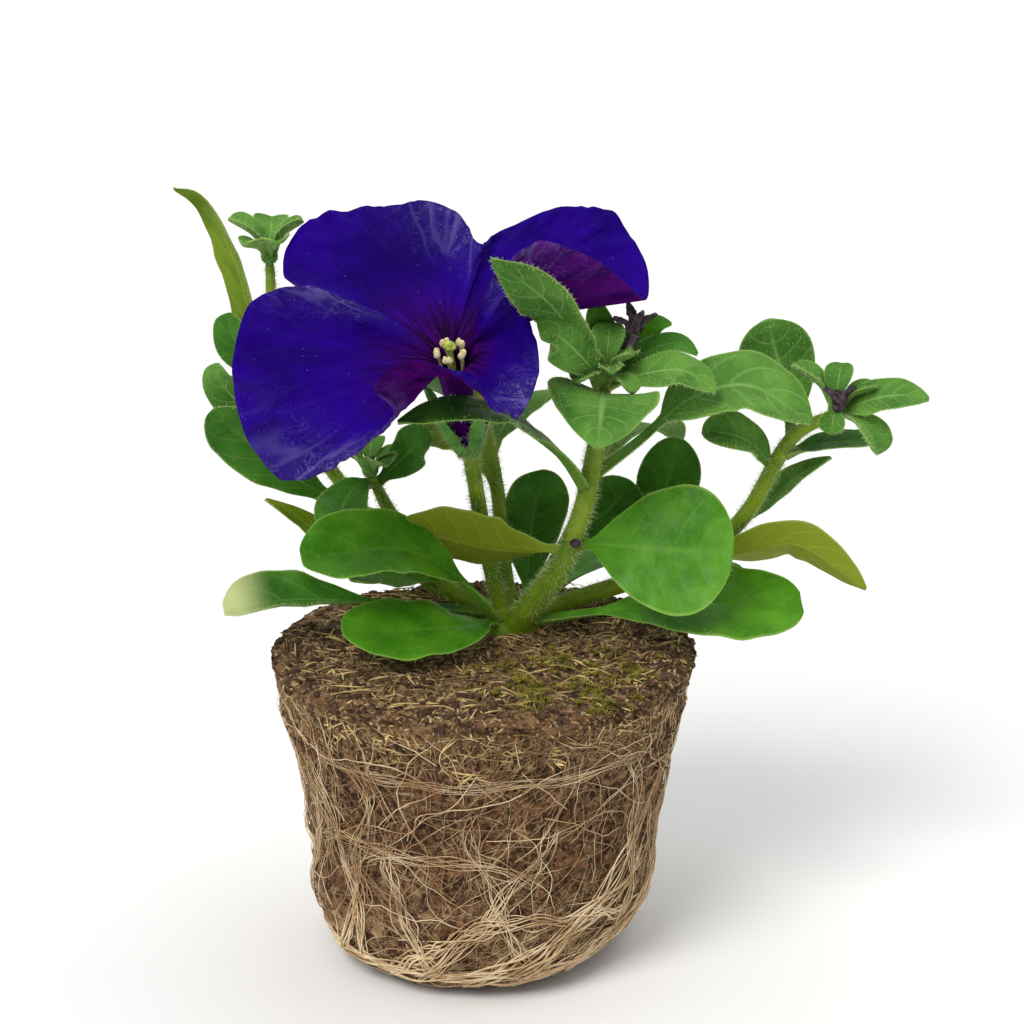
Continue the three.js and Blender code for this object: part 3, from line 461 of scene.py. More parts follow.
def petalSkin():
    s = Shader("blue violet petal")
    reach, under, paintedSheenBand = s.value("reach"), s.value("under"), s.value("satin")
    spokeways = {0: s.times(s.value("round"), 0.0026), 1: s.times(reach, 0.003)}
    lines = s.add("ShaderNodeCombineXYZ", spokeways).outputs[0]
    streak = s.noise(0.9, 4.0, 0.6, lines)
    cloud = s.ramp(s.noise(17.0, 3.0, 0.5), 0.25, 0.75)
    skin = s.mix(cloud, colour(20, 0, 86), colour(35, 0, 128))
    skin = s.mix(s.ramp(streak, 0.5, 0.7, 0.0, 0.45), skin, colour(14, 0, 62))
    skin = s.mix(s.ramp(reach, 0.04, 0.6, 0.95, 0.0), skin, colour(58, 0, 80))
    ribs = s.ramp(s.noise(0.95, 2.0, 0.5, lines), 0.44, 0.54)
    deep = s.times(ribs, s.ramp(reach, 0.04, 0.6, 1.0, 0.0))
    skin = s.mix(deep, skin, colour(8, 0, 16))
    lower = s.mix(s.ramp(streak, 0.4, 0.65), colour(72, 2, 98), colour(44, 0, 78))
    skin = s.mix(under, skin, lower)
    fold = s.math("ABSOLUTE", s.math("SUBTRACT", s.noise(3.0, 2.0, 0.5, lines, 0.6), 0.5))
    curl = s.math("ABSOLUTE", s.math("SUBTRACT", s.noise(5.0, 3.0, 0.6, distortion=1.4), 0.5))
    creaseAndHighlight = s.math("MAXIMUM", s.ramp(fold, 0.0, 0.04, 0.7, 0.0), s.ramp(curl, 0.0, 0.022, 1.0, 0.0))
    creaseAndHighlight = s.times(creaseAndHighlight, paintedSheenBand)
    speck = s.ramp(s.cells(2.6), 0.03, 0.05, 0.4, 0.0)
    skin = s.mix(speck, skin, colour(150, 140, 214))
    # painted sheen: lighter grey-violet bands where the folded lobe edges catch the light
    satin = s.times(paintedSheenBand, s.ramp(s.noise(1.6, 4.0, 0.7), 0.3, 0.65, 0.25, 0.85))
    skin = s.mix(satin, skin, colour(58, 46, 108))
    # painted highlight: pale lines along the creases inside the painted sheen bands; the same creases also raise
    # the bump
    skin = s.mix(s.times(creaseAndHighlight, 0.6), skin, colour(124, 114, 182))
    wrinkle = s.math("ADD", s.times(streak, 1.2), s.noise(0.8, 3.0))
    wrinkle = s.math("ADD", wrinkle, s.times(creaseAndHighlight, 0.6))
    normal = s.bump(s.noise(0.16, 2.0), 0.2, 0.04, s.bump(wrinkle, 0.6, 0.4))
    s.set(Base_Color=skin, Roughness=s.ramp(satin, 0.0, 1.0, 0.5, 0.34),
          Specular_IOR_Level=0.02, Sheen_Weight=0.03, Sheen_Roughness=0.4,
          Sheen_Tint=colour(60, 20, 236), Normal=normal)
    return s.material


petal = petalSkin()


def peatSkin():
    s = Shader("damp peat")
    silted = s.value("silt")
    clod = s.ramp(s.noise(4.2, 6.0, 0.68), 0.36, 0.66)
    skin = s.mix(clod, colour(56, 33, 21), colour(118, 80, 50))
    skin = s.mix(s.ramp(s.noise(1.2, 4.0, 0.7), 0.52, 0.7, 0.0, 0.7), skin, colour(164, 124, 84))
    silt = s.mix(s.ramp(s.noise(1.1, 5.0, 0.75), 0.42, 0.64), colour(86, 62, 40), colour(168, 138, 96))
    skin = s.mix(s.times(silted, 0.75), skin, silt)
    strand = s.ramp(s.cells(5.0, "DISTANCE_TO_EDGE", randomness=0.9), 0.0, 0.05, 0.7, 0.0)
    thin = s.ramp(s.cells(2.3, "DISTANCE_TO_EDGE"), 0.0, 0.06, 0.5, 0.0)
    web = s.times(s.math("MAXIMUM", strand, thin), s.math("SUBTRACT", 1.0, silted))
    web = s.times(web, s.ramp(s.noise(9.0, 3.0), 0.35, 0.6, 0.2, 1.0))
    level = s.add("ShaderNodeSeparateXYZ", {0: s.place}).outputs["Z"]
    felt = s.times(s.ramp(level, 0.004, 0.034, 0.75, 0.0), s.ramp(s.noise(6.0, 5.0, 0.7), 0.42, 0.6))
    skin = s.mix(s.math("MAXIMUM", web, felt), skin, colour(188, 158, 118))
    green = s.times(s.value("moss"), s.ramp(s.noise(3.0, 5.0, 0.7), 0.4, 0.6))
    skin = s.mix(s.times(green, 0.7), skin, colour(104, 98, 36))
    # painted shade: the low hollows of the bump are darkened nearly to black
    hollowsAndShade = s.ramp(s.noise(2.0, 5.0, 0.75), 0.38, 0.5)
    skin = s.mix(s.ramp(hollowsAndShade, 0.0, 1.0, 0.75, 0.0), skin, colour(26, 16, 12))
    height = s.math("ADD", s.times(hollowsAndShade, 0.8), s.times(web, 0.7))
    normal = s.bump(s.noise(0.45, 4.0, 0.7), 0.6, 0.3, s.bump(height, 0.7, 0.7))
    rough = s.ramp(clod, 0.0, 1.0, 0.95, 0.8)
    s.set(Base_Color=skin, Roughness=rough, Specular_IOR_Level=0.2, Normal=normal)
    return s.material


peat = peatSkin()


def plainSkin(name, dark, light, size, rough=0.6, depth=0.15, relief=0.5, velvet=0.0, tint=(255, 255, 255)):
    # two tones by noise, with a finer grain of its own on the surface
    s = Shader(name)
    broad = s.ramp(s.noise(size, 5.0, 0.62), 0.34, 0.68)
    fleck = s.ramp(s.noise(size * 0.18, 3.0, 0.6), 0.5, 0.75, 0.0, 0.4)
    skin = s.mix(fleck, s.mix(broad, colour(*dark), colour(*light)), colour(*light))
    normal = s.bump(s.noise(size * 0.12, 4.0, 0.65), relief, depth)
    patchy = s.ramp(broad, 0.0, 1.0, rough + 0.08, rough - 0.08)
    s.set(Base_Color=skin, Roughness=patchy, Specular_IOR_Level=0.3, Sheen_Weight=velvet, Sheen_Tint=colour(*tint),
          Normal=normal)
    return s.material


netSkin = plainSkin("cream root bundles", (176, 142, 100), (234, 212, 174), 7.0, 0.7, 0.2, 0.6)
fineRootSkin = plainSkin("thin pale roots", (158, 124, 84), (214, 186, 144), 6.0, 0.75, 0.1, 0.4)
straw = plainSkin("straw fibres", (104, 78, 44), (222, 194, 132), 6.0, 0.75, 0.1, 0.4)
crumb = plainSkin("dark peat crumbs", (46, 32, 24), (112, 82, 56), 2.4, 0.9, 0.3, 0.8)
grit = plainSkin("grey soil grains", (98, 88, 74), (166, 152, 128), 2.0, 0.85, 0.2, 0.6)
mossSkin = plainSkin("green moss", (84, 84, 22), (156, 146, 54), 3.0, 0.8, 0.1, 0.3)
stemSkin = plainSkin("olive stem", (82, 116, 4), (130, 154, 18), 9.0, 0.5, 0.1, 0.35, 0.05, (190, 214, 120))
calyxSkin = plainSkin("green calyx", (52, 108, 34), (88, 142, 54), 4.0, 0.55, 0.1, 0.35, 0.15, (220, 235, 190))
stigmaSkin = plainSkin("moist green stigma", (118, 138, 40), (190, 204, 92), 1.2, 0.35, 0.1, 0.6)
pollen = plainSkin("cream pollen", (196, 180, 118), (240, 230, 186), 0.8, 0.85, 0.15, 0.9)
drySkin = plainSkin("dried bud", (34, 26, 32), (92, 76, 82), 1.6, 0.85, 0.2, 0.8)
hairSkin = plainSkin("pale plant hair", (164, 188, 116), (212, 226, 172), 8.0, 0.5, 0.05, 0.2)
print("materials ready")

rootBall = {"height": 64, "waist": 34.3, "rim": 43.4, "rimDip": 2.0, "columns": 330, "wallRings": 96,
            "topRings": 52, "pitDepth": 0.9, "clods": 1.1, "wornFrom": 56, "wornTo": 63,
            "mossPatch": [17, -22]}
# radius and height up the outline of the wall
wallRows = [[25, 0], [30, 2.5], [33.2, 8], [34.3, 15], [35.2, 25], [36.6, 35], [38.7, 46], [40.3, 52],
            [41.0, 53.5], [40.8, 55.5], [43.0, 60.5], [43.6, 62.6]]


def wallShape(turn, height):
    radius = np.interp(height, [r[1] for r in wallRows], [r[0] for r in wallRows])
    facing = np.maximum(0, np.cos(turn + 0.35))
    low = np.maximum(0, 1 - height / 24)
    waves = np.sin(5 * turn + height * 0.21) + 0.7 * np.sin(9 * turn - height * 0.33 + 1.3)
    return radius * (1 - 0.17 * facing ** 2 * low ** 2) + 0.35 * waves * np.minimum(1, height / 6)


def wornShare(height):
    # 0 on the firm wall, 1 at the crumbled rim
    return smoothStep(rootBall["wornFrom"], rootBall["wornTo"], height)


def topShape(x, y):
    broad = 0.55 * np.sin(x * 0.31 + 0.4) * np.sin(y * 0.27 + 1.1)
    return rootBall["height"] + broad + 0.35 * np.sin(x * 0.53 - y * 0.47)


def ballGrid():
    # rings of points from the middle of the foot, up the wall and in to the middle of the top
    columns = rootBall["columns"]
    turn = np.arange(columns) * 2 * math.pi / columns
    rows, wall, top = [], [], []

    def addRing(r, z, wallShare, topShare):
        rows.append(np.stack([r * np.cos(turn), r * np.sin(turn), np.broadcast_to(z, columns)], -1))
        wall.append(wallShare)
        top.append(topShare)

    for r in (0.02, 6, 12, 18, 22):
        addRing(r, 0.0, 0, 0)
    for z in np.concatenate([[0, 0.6, 1.4, 2.4], np.linspace(3.4, 62.6, rootBall["wallRings"])]):
        addRing(wallShape(turn, z), z, min(1, max(0, z - 0.8) / 3), 0)
    for share in np.linspace(0, 1, rootBall["topRings"])[1:]:
        r = rootBall["rim"] * (1 - share) + 0.02
        dip = rootBall["rimDip"] * max(0, 1 - share * 7) ** 2
        addRing(r, topShape(r * np.cos(turn), r * np.sin(turn)) - dip, 0, min(1, share * 12))
    return np.array(rows), np.array(wall), np.array(top)


def buildRootBall():
    grid, wall, top = ballGrid()
    rows, columns = grid.shape[:2]
    p = grid.reshape(-1, 3)
    wallShare, topShare = np.repeat(wall, columns), np.repeat(top, columns)
    outward = unit(p * [1, 1, 0])
    rough = grain(p, 7.0, 3.1, 4)
    fine = grain(p, 2.2, 8.4, 3)
    pit = -rootBall["pitDepth"] * (smoothStep(0.05, 0.5, rough) + 0.5 * smoothStep(0.1, 0.5, fine))
    worn = wallShare * wornShare(p[:, 2])
    p = p + outward * (wallShare * (pit + 0.25 * fine) - worn * (0.9 + 0.8 * rough))[:, None]
    clod = rootBall["clods"] * (0.55 * rough + 0.6 * np.abs(fine) - 0.2)
    edge = smoothStep(36, 43, np.linalg.norm(p[:, :2], axis=1))
    p[:, 2] += topShare * (clod - 0.5 * edge * np.abs(rough))
    radius = np.linalg.norm(p[:, :2], axis=1)
    fromPatch = np.linalg.norm(p[:, :2] - rootBall["mossPatch"], axis=1)
    moss = topShare * smoothStep(24, 6, fromPatch) * smoothStep(-0.25, 0.4, rough)
    faces = [list(f) for f in gridFaces(rows, columns, True)]
    faces.append(list(range(columns))[::-1])
    last = (rows - 1) * columns
    faces.append([last + c for c in range(columns)])
    rim = topShare * smoothStep(8, 42, radius) * (p[:, 2] > 60)
    silt = np.maximum(topShare, 0.6 * wallShare * smoothStep(49, 58, p[:, 2]))
    return makeMesh("root ball", p, faces, {"wall": wallShare, "silt": silt, "moss": moss, "rim": rim})


ballObject = finishPiece(buildRootBall(), peat, ["peat_block"])
print("root ball built")

# Each strand is a turn and height at its start, the same at its end, its sway and its size.
rootStrands = [
    (-178, 5, -60, 4, 1.5, 1.5), (-80, 4, 40, 6, 2, 1.7), (20, 6, 120, 4, 2, 1.4), (100, 5, 192, 5, 1.5, 1.4),
    (-142, 50, -40, 51.5, -1.2, 1.0), (-150, 4.5, -128, 52, 9, 1.2), (-136, 4.5, -150, 48, 6, 1.1),
    (-128, 4.5, -84, 22, 3, 1.4), (-114, 4.5, -68, 40, 7, 1.3), (-102, 4.2, -118, 36, -7, 1.2),
    (-98, 4.2, -28, 27, 6, 1.7), (-80, 4.2, -26, 44, 10, 1.5), (-68, 4.4, -92, 44, -7, 1.1),
    (-56, 4.8, -10, 22, 5, 1.8), (-40, 5, -46, 52, 9, 1.2), (-32, 5.2, 6, 38, 7, 1.5),
    (-152, 30, -74, 27, 5, 1.1), (-94, 17, -34, 14, 3, 1.4), (-10, 5.4, 18, 50, 9, 1.3),
    (8, 5.6, 60, 30, 7, 1.4), (34, 6, 30, 46, -9, 1.2), (80, 5.5, 70, 50, 9, 1.2),
    (92, 4.8, 140, 28, 6, 1.4), (134, 5, 176, 36, 7, 1.3), (160, 5, 152, 50, 8, 1.1),
    (176, 5, 212, 42, 6, 1.2), (-14, 22, 102, 24, 4, 1.2), (96, 18, 206, 24, 4, 1.1),
]
roots = {"bundle": 8, "bundleThickness": 0.13, "bundleLift": 0.6, "middle": 190, "middleThickness": 0.09,
         "fine": 1250, "fineThickness": 0.055, "ringShare": 0.35, "stride": 1.6, "seed": 41,
         "levels": [0, 10, 26, 60], "stoutness": [1.8, 1.3, 0.6, 0.42]}


def strandPlan(row):
    # places on the unrolled wall: distance round the waist, and height
    fromTurn, fromHeight, toTurn, toHeight, sway, _ = row
    t = np.arange(6) / 5
    level = abs(toHeight - fromHeight) < 12
    bend = sway * (np.sin(math.pi * t) + 0.25 * np.sin(3 * math.pi * t))
    turn = np.radians(fromTurn + (toTurn - fromTurn) * t + (0 if level else bend))
    height = fromHeight + (toHeight - fromHeight) * t + (bend if level else 0)
    return np.stack([turn * rootBall["waist"], height, 0 * t], -1)


def onWall(plan, lift):
    turn = plan[:, 0] / rootBall["waist"]
    height = np.clip(plan[:, 1], 0.8, 62.4)
    reach = wallShape(turn, height) + lift
    return np.stack([reach * np.cos(turn), reach * np.sin(turn), height], -1)


def lineMesh(name, lines, widths):
    edges, count = [], 0
    for line in lines:
        edges += [(count + k, count + k + 1) for k in range(len(line) - 1)]
        count += len(line)
    mesh = bpy.data.meshes.new(name)
    mesh.from_pydata((np.concatenate(lines) * mm).tolist(), edges, [])
    setValues(mesh, "thickness", np.concatenate(widths).astype(np.float32) * mm)
    return addObject(name, mesh)


def strandPiece(name, drawn, sides, skin, nodes=()):
    piece = grow(lineMesh(name + " lines", *drawn), strands, {"Sides": sides, "Material": skin}, name)
    finishPiece(piece, None, nodes)


def buildNet():
    # each strand is a bundle of thin roots that part and meet again
    random = np.random.default_rng(roots["seed"])
    lines, widths = [], []
    for row in rootStrands:
        path, size = Path(strandPlan(row)), row[5]
        u = np.linspace(0, 1, max(12, int(path.length / 1.7)))
        base, forward = path.at(u), path.tangent(u)
        aside = np.stack([-forward[:, 1], forward[:, 0], 0 * u], -1)
        ends = np.minimum(1, np.minimum(u, 1 - u) * 9 + 0.25)
        stout = np.interp(base[:, 1], roots["levels"], roots["stoutness"])
        for k in range(roots["bundle"]):
            phase, beat = random.uniform(0, 6.3), random.uniform(1.5, 4)
            drift = (k - 3.5) * 0.25 * size + 0.6 * size * np.sin(phase + beat * 6.3 * u)
            lift = roots["bundleLift"] + 0.25 * size * np.sin(phase * 2 + beat * 5 * u) + 0.2 * (k % 2)
            lines.append(onWall(base + aside * drift[:, None], lift))
            width = roots["bundleThickness"] * size / 1.3 * random.uniform(0.6, 1.3)
            widths.append(width * ends * stout)
    return lines, widths


def buildRootLines(count, thickness, reach, seed, lift):
    # loose roots that wander over the wall, closest together near the foot
    random = np.random.default_rng(seed)
    lines, widths = [], []
    for _ in range(count):
        turn = random.uniform(-math.pi, math.pi)
        height = 2 + 59 * random.uniform(0, 1) ** 1.5
        steer = random.choice([0.0, 0.7, 1.3, 1.9, 2.6]) + random.normal(0, 0.35)
        if random.uniform() < roots["ringShare"]:
            steer = random.normal(0, 0.16) if height < 16 else random.normal(1.4, 0.4)
        steps = int(random.uniform(0.5, 1.2) * reach / roots["stride"])
        bend = np.cumsum(random.normal(0, 0.2, steps)) + steer
        plan = np.stack([turn * rootBall["waist"] + np.cumsum(np.cos(bend)) * roots["stride"],
                         height + np.cumsum(np.sin(bend)) * roots["stride"], np.zeros(steps)], -1)
        keep = (plan[:, 1] > 0.8) & (plan[:, 1] < 61.5)
        plan = plan[:np.argmin(keep)] if not keep.all() else plan
        if len(plan) < 5:
            continue
        u = np.linspace(0, 1, len(plan))
        wave = 0.25 * np.sin(random.uniform(0, 6) + u * random.uniform(5, 12))
        lines.append(onWall(plan, lift + wave - wornShare(plan[:, 1])))
        widths.append(thickness * random.uniform(0.6, 1.3) * np.minimum(1, (1 - u) * 4 + 0.2))
    return lines, widths


strandPiece("root net", buildNet(), 5, netSkin, ["root_net"])
middleRoots = buildRootLines(roots["middle"], roots["middleThickness"], 42, 7, 0.3)
strandPiece("wall roots", middleRoots, 5, netSkin)
fineRoots = buildRootLines(roots["fine"], roots["fineThickness"], 24, 19, 0.1)
strandPiece("fine wall roots", fineRoots, 3, fineRootSkin)
print("roots built")

throat = np.array([-5.7, -20, 129.8])
flowerAxis = unit([-0.12, -0.52, 0.85])
rightward = unit(np.array([1.0, 0, 0]) - flowerAxis * flowerAxis[0])
upward = np.cross(flowerAxis, rightward)


def onAxis(depth, radius=0.0, turn=0.0):
    depth, radius, turn = np.asarray(depth, float), np.asarray(radius, float), np.asarray(turn, float)
    spread = (radius * np.cos(turn))[..., None] * rightward + (radius * np.sin(turn))[..., None] * upward
    return throat - depth[..., None] * flowerAxis + spread


# Each stem is a path and the radii along it.
stemPaths = [
    ([[4.8, 9, 62], [9.5, 5, 70.5], [14.7, 1, 79], [17.8, 0, 85.6]], [2.8, 2.7, 2.4, 2.1]),
    ([[17.5, 0, 85], [20.2, 0, 93.6], [22.1, 0, 104], [23.7, -1, 114.4], [24.2, -2, 119.5]],
     [2.0, 2.0, 1.9, 1.6, 1.1]),
    ([[7.5, 12, 66], [24, 16, 70], [42.4, 16, 76.7], [53.3, 14, 87], [61.5, 8, 104.7], [69.5, 3, 111.5]],
     [1.9, 1.9, 1.8, 1.7, 1.6, 1.2]),
    ([[4.4, 11.5, 65], [1, 8, 80.5], [-0.9, 2, 93.7], list(onAxis(28))], [1.8, 1.7, 1.6, 1.6]),
    ([[5.8, 14, 65], [3.8, 13, 80], [3, 12.5, 92], [0, 19, 106], [-4, 26, 116]], [1.7, 1.6, 1.5, 1.4, 1.1]),
    ([[2.3, 12, 66], [-9, 16, 72.5], [-18, 14, 86], [-22.3, 8, 97]], [1.9, 1.7, 1.5, 1.1]),
    ([[2, 14, 66], [-13, 22, 71.5], [-27, 20, 89], [-37, 17, 106.6], [-41.5, 13, 128], [-42, 11, 140]],
     [1.8, 1.7, 1.5, 1.4, 1.3, 1.0]),
    ([[8, 14, 66], [18, 26, 79], [26, 33, 98]], [1.8, 1.6, 1.2]),
]
stems = {"fillet": 0.45, "sides": 16, "steps": 60, "hairFrom": 66, "hairFull": 74}


def buildStems():
    # the crown and its stems, melted into one
    parts = [(*sweep(points, radii, stems["sides"], stems["steps"]), {}) for points, radii in stemPaths]
    parts.append((*ball([5.5, 11, 63.5], [6.4, 6.4, 5], 16, 28), {}))
    raw = makeMesh("stem tubes", *joinParts(parts))
    melt = raw.modifiers.new("fillet", "REMESH")
    melt.mode = "VOXEL"
    melt.voxel_size = stems["fillet"] * mm
    even = raw.modifiers.new("even", "SMOOTH")
    even.iterations = 3
    obj = freeze(raw, "stems")
    obj.data.polygons.foreach_set("use_smooth", [True] * len(obj.data.polygons))
    z = np.array([v.co.z for v in obj.data.vertices]) / mm
    setValues(obj.data, "hair", smoothStep(stems["hairFrom"], stems["hairFull"], z))
    return obj


stemObject = finishPiece(buildStems(), stemSkin, ["stems"])
print("stems built")

bladeKinds = {
    "spoon": {"petiole": 0.3, "shoulder": 1.15, "tip": 0.52, "fold": 6, "curl": 0.05},
    "oval": {"petiole": 0.13, "shoulder": 0.95, "tip": 0.52, "fold": 6, "curl": 0.05},
    "point": {"petiole": 0.14, "shoulder": 0.8, "tip": 0.85, "fold": 9, "curl": 0.03},
    "lance": {"petiole": 0.15, "shoulder": 0.8, "tip": 0.95, "fold": 20, "curl": 0},
    "sepal": {"petiole": 0.02, "shoulder": 0.45, "tip": 0.6, "fold": 8, "curl": 0},
}
leafBlade = {"rows": 40, "columns": 21, "thickness": 0.6, "edge": 0.22, "ripple": 0.4, "veinDepth": 0.26,
             "narrow": 9.9, "narrowRows": 30, "narrowColumns": 15, "paleFuzz": 0.14, "fuzz": 0.015}


def blade(kind, width, face, path, rows=None, columns=None, stalk=1.2, seed=0, fuzz=0.1, **more):
    # points of both faces of a blade, with how far across, along and under each one lies
    shape = {**bladeKinds[kind], **more}
    line = Path(path)
    rows, columns = rows or leafBlade["rows"], columns or leafBlade["columns"]
    along = (1 - (1 - np.linspace(0, 1, rows)) ** 1.35) * 0.992
    across = np.sin(np.linspace(-1, 1, columns) * math.pi / 2)
    reach = np.abs(across)
    centre, forward = line.at(along), line.tangent(along)
    sideways = unit(np.cross(forward, unit(face)))
    up = np.cross(sideways, forward)
    opened = np.clip((along - shape["petiole"]) / (1 - shape["petiole"]), 0, 1)
    s, t = shape["shoulder"], shape["tip"]
    openness = opened ** s * (1 - opened) ** t / ((s / (s + t)) ** s * (t / (s + t)) ** t)
    half = np.hypot(openness * width / 2, stalk * np.sqrt(1 - along))[:, None]
    fold = math.radians(shape["fold"])
    lift = (math.sin(fold) * reach - shape["curl"] * reach ** 2.5 * openness[:, None]) * half
    ripple = np.sin(along * line.length * 0.55 + seed) + 0.6 * np.sin(along * line.length * 0.93 + seed * 2.3)
    ripple = ripple[:, None] * np.sign(across) ** 2 * np.where(across < 0, 1, -0.8)
    lift = lift + leafBlade["ripple"] * min(1, width / 14) * ripple * reach ** 2 * openness[:, None]
    bow = np.abs((along[:, None] * 7 - 1.35 * reach ** 1.4) % 1 - 0.5)
    groove = (1 - smoothStep(0, 0.16, bow)) * smoothStep(0.95, 0.5, reach) * smoothStep(0.05, 0.2, reach) * 0.8
    groove = np.maximum(groove, 1 - smoothStep(0.02, 0.12, reach)) * openness[:, None]
    lift = lift - leafBlade["veinDepth"] * min(1.3, width / 14) * groove
    rib = 0.5 * stalk * (1 - along)[:, None] * (1 - reach) ** 2
    stout = np.maximum(0, 1 - along / shape["petiole"])[:, None] * (1.3 * stalk - 0.85) * (1 - 0.5 * reach)
    body = leafBlade["thickness"] * (1 - reach ** 3) + leafBlade["edge"]
    top = centre[:, None] + sideways[:, None] * (across * math.cos(fold) * half)[..., None]
    top = top + up[:, None] * lift[..., None]
    low = top - up[:, None] * (body + rib + stout)[..., None]
    points, faces = closedSheet(top, low)
    flatAlong, flatAcross = np.repeat(along, columns), np.tile(across, rows)
    margin = smoothStep(0.8, 1, np.abs(flatAcross))
    values = {"along": np.tile(flatAlong, 2), "across": np.tile(flatAcross, 2),
              "under": np.repeat([0.0, 1.0], rows * columns), "hair": np.tile(fuzz + (1 - fuzz) * margin, 2)}
    return points, faces, values


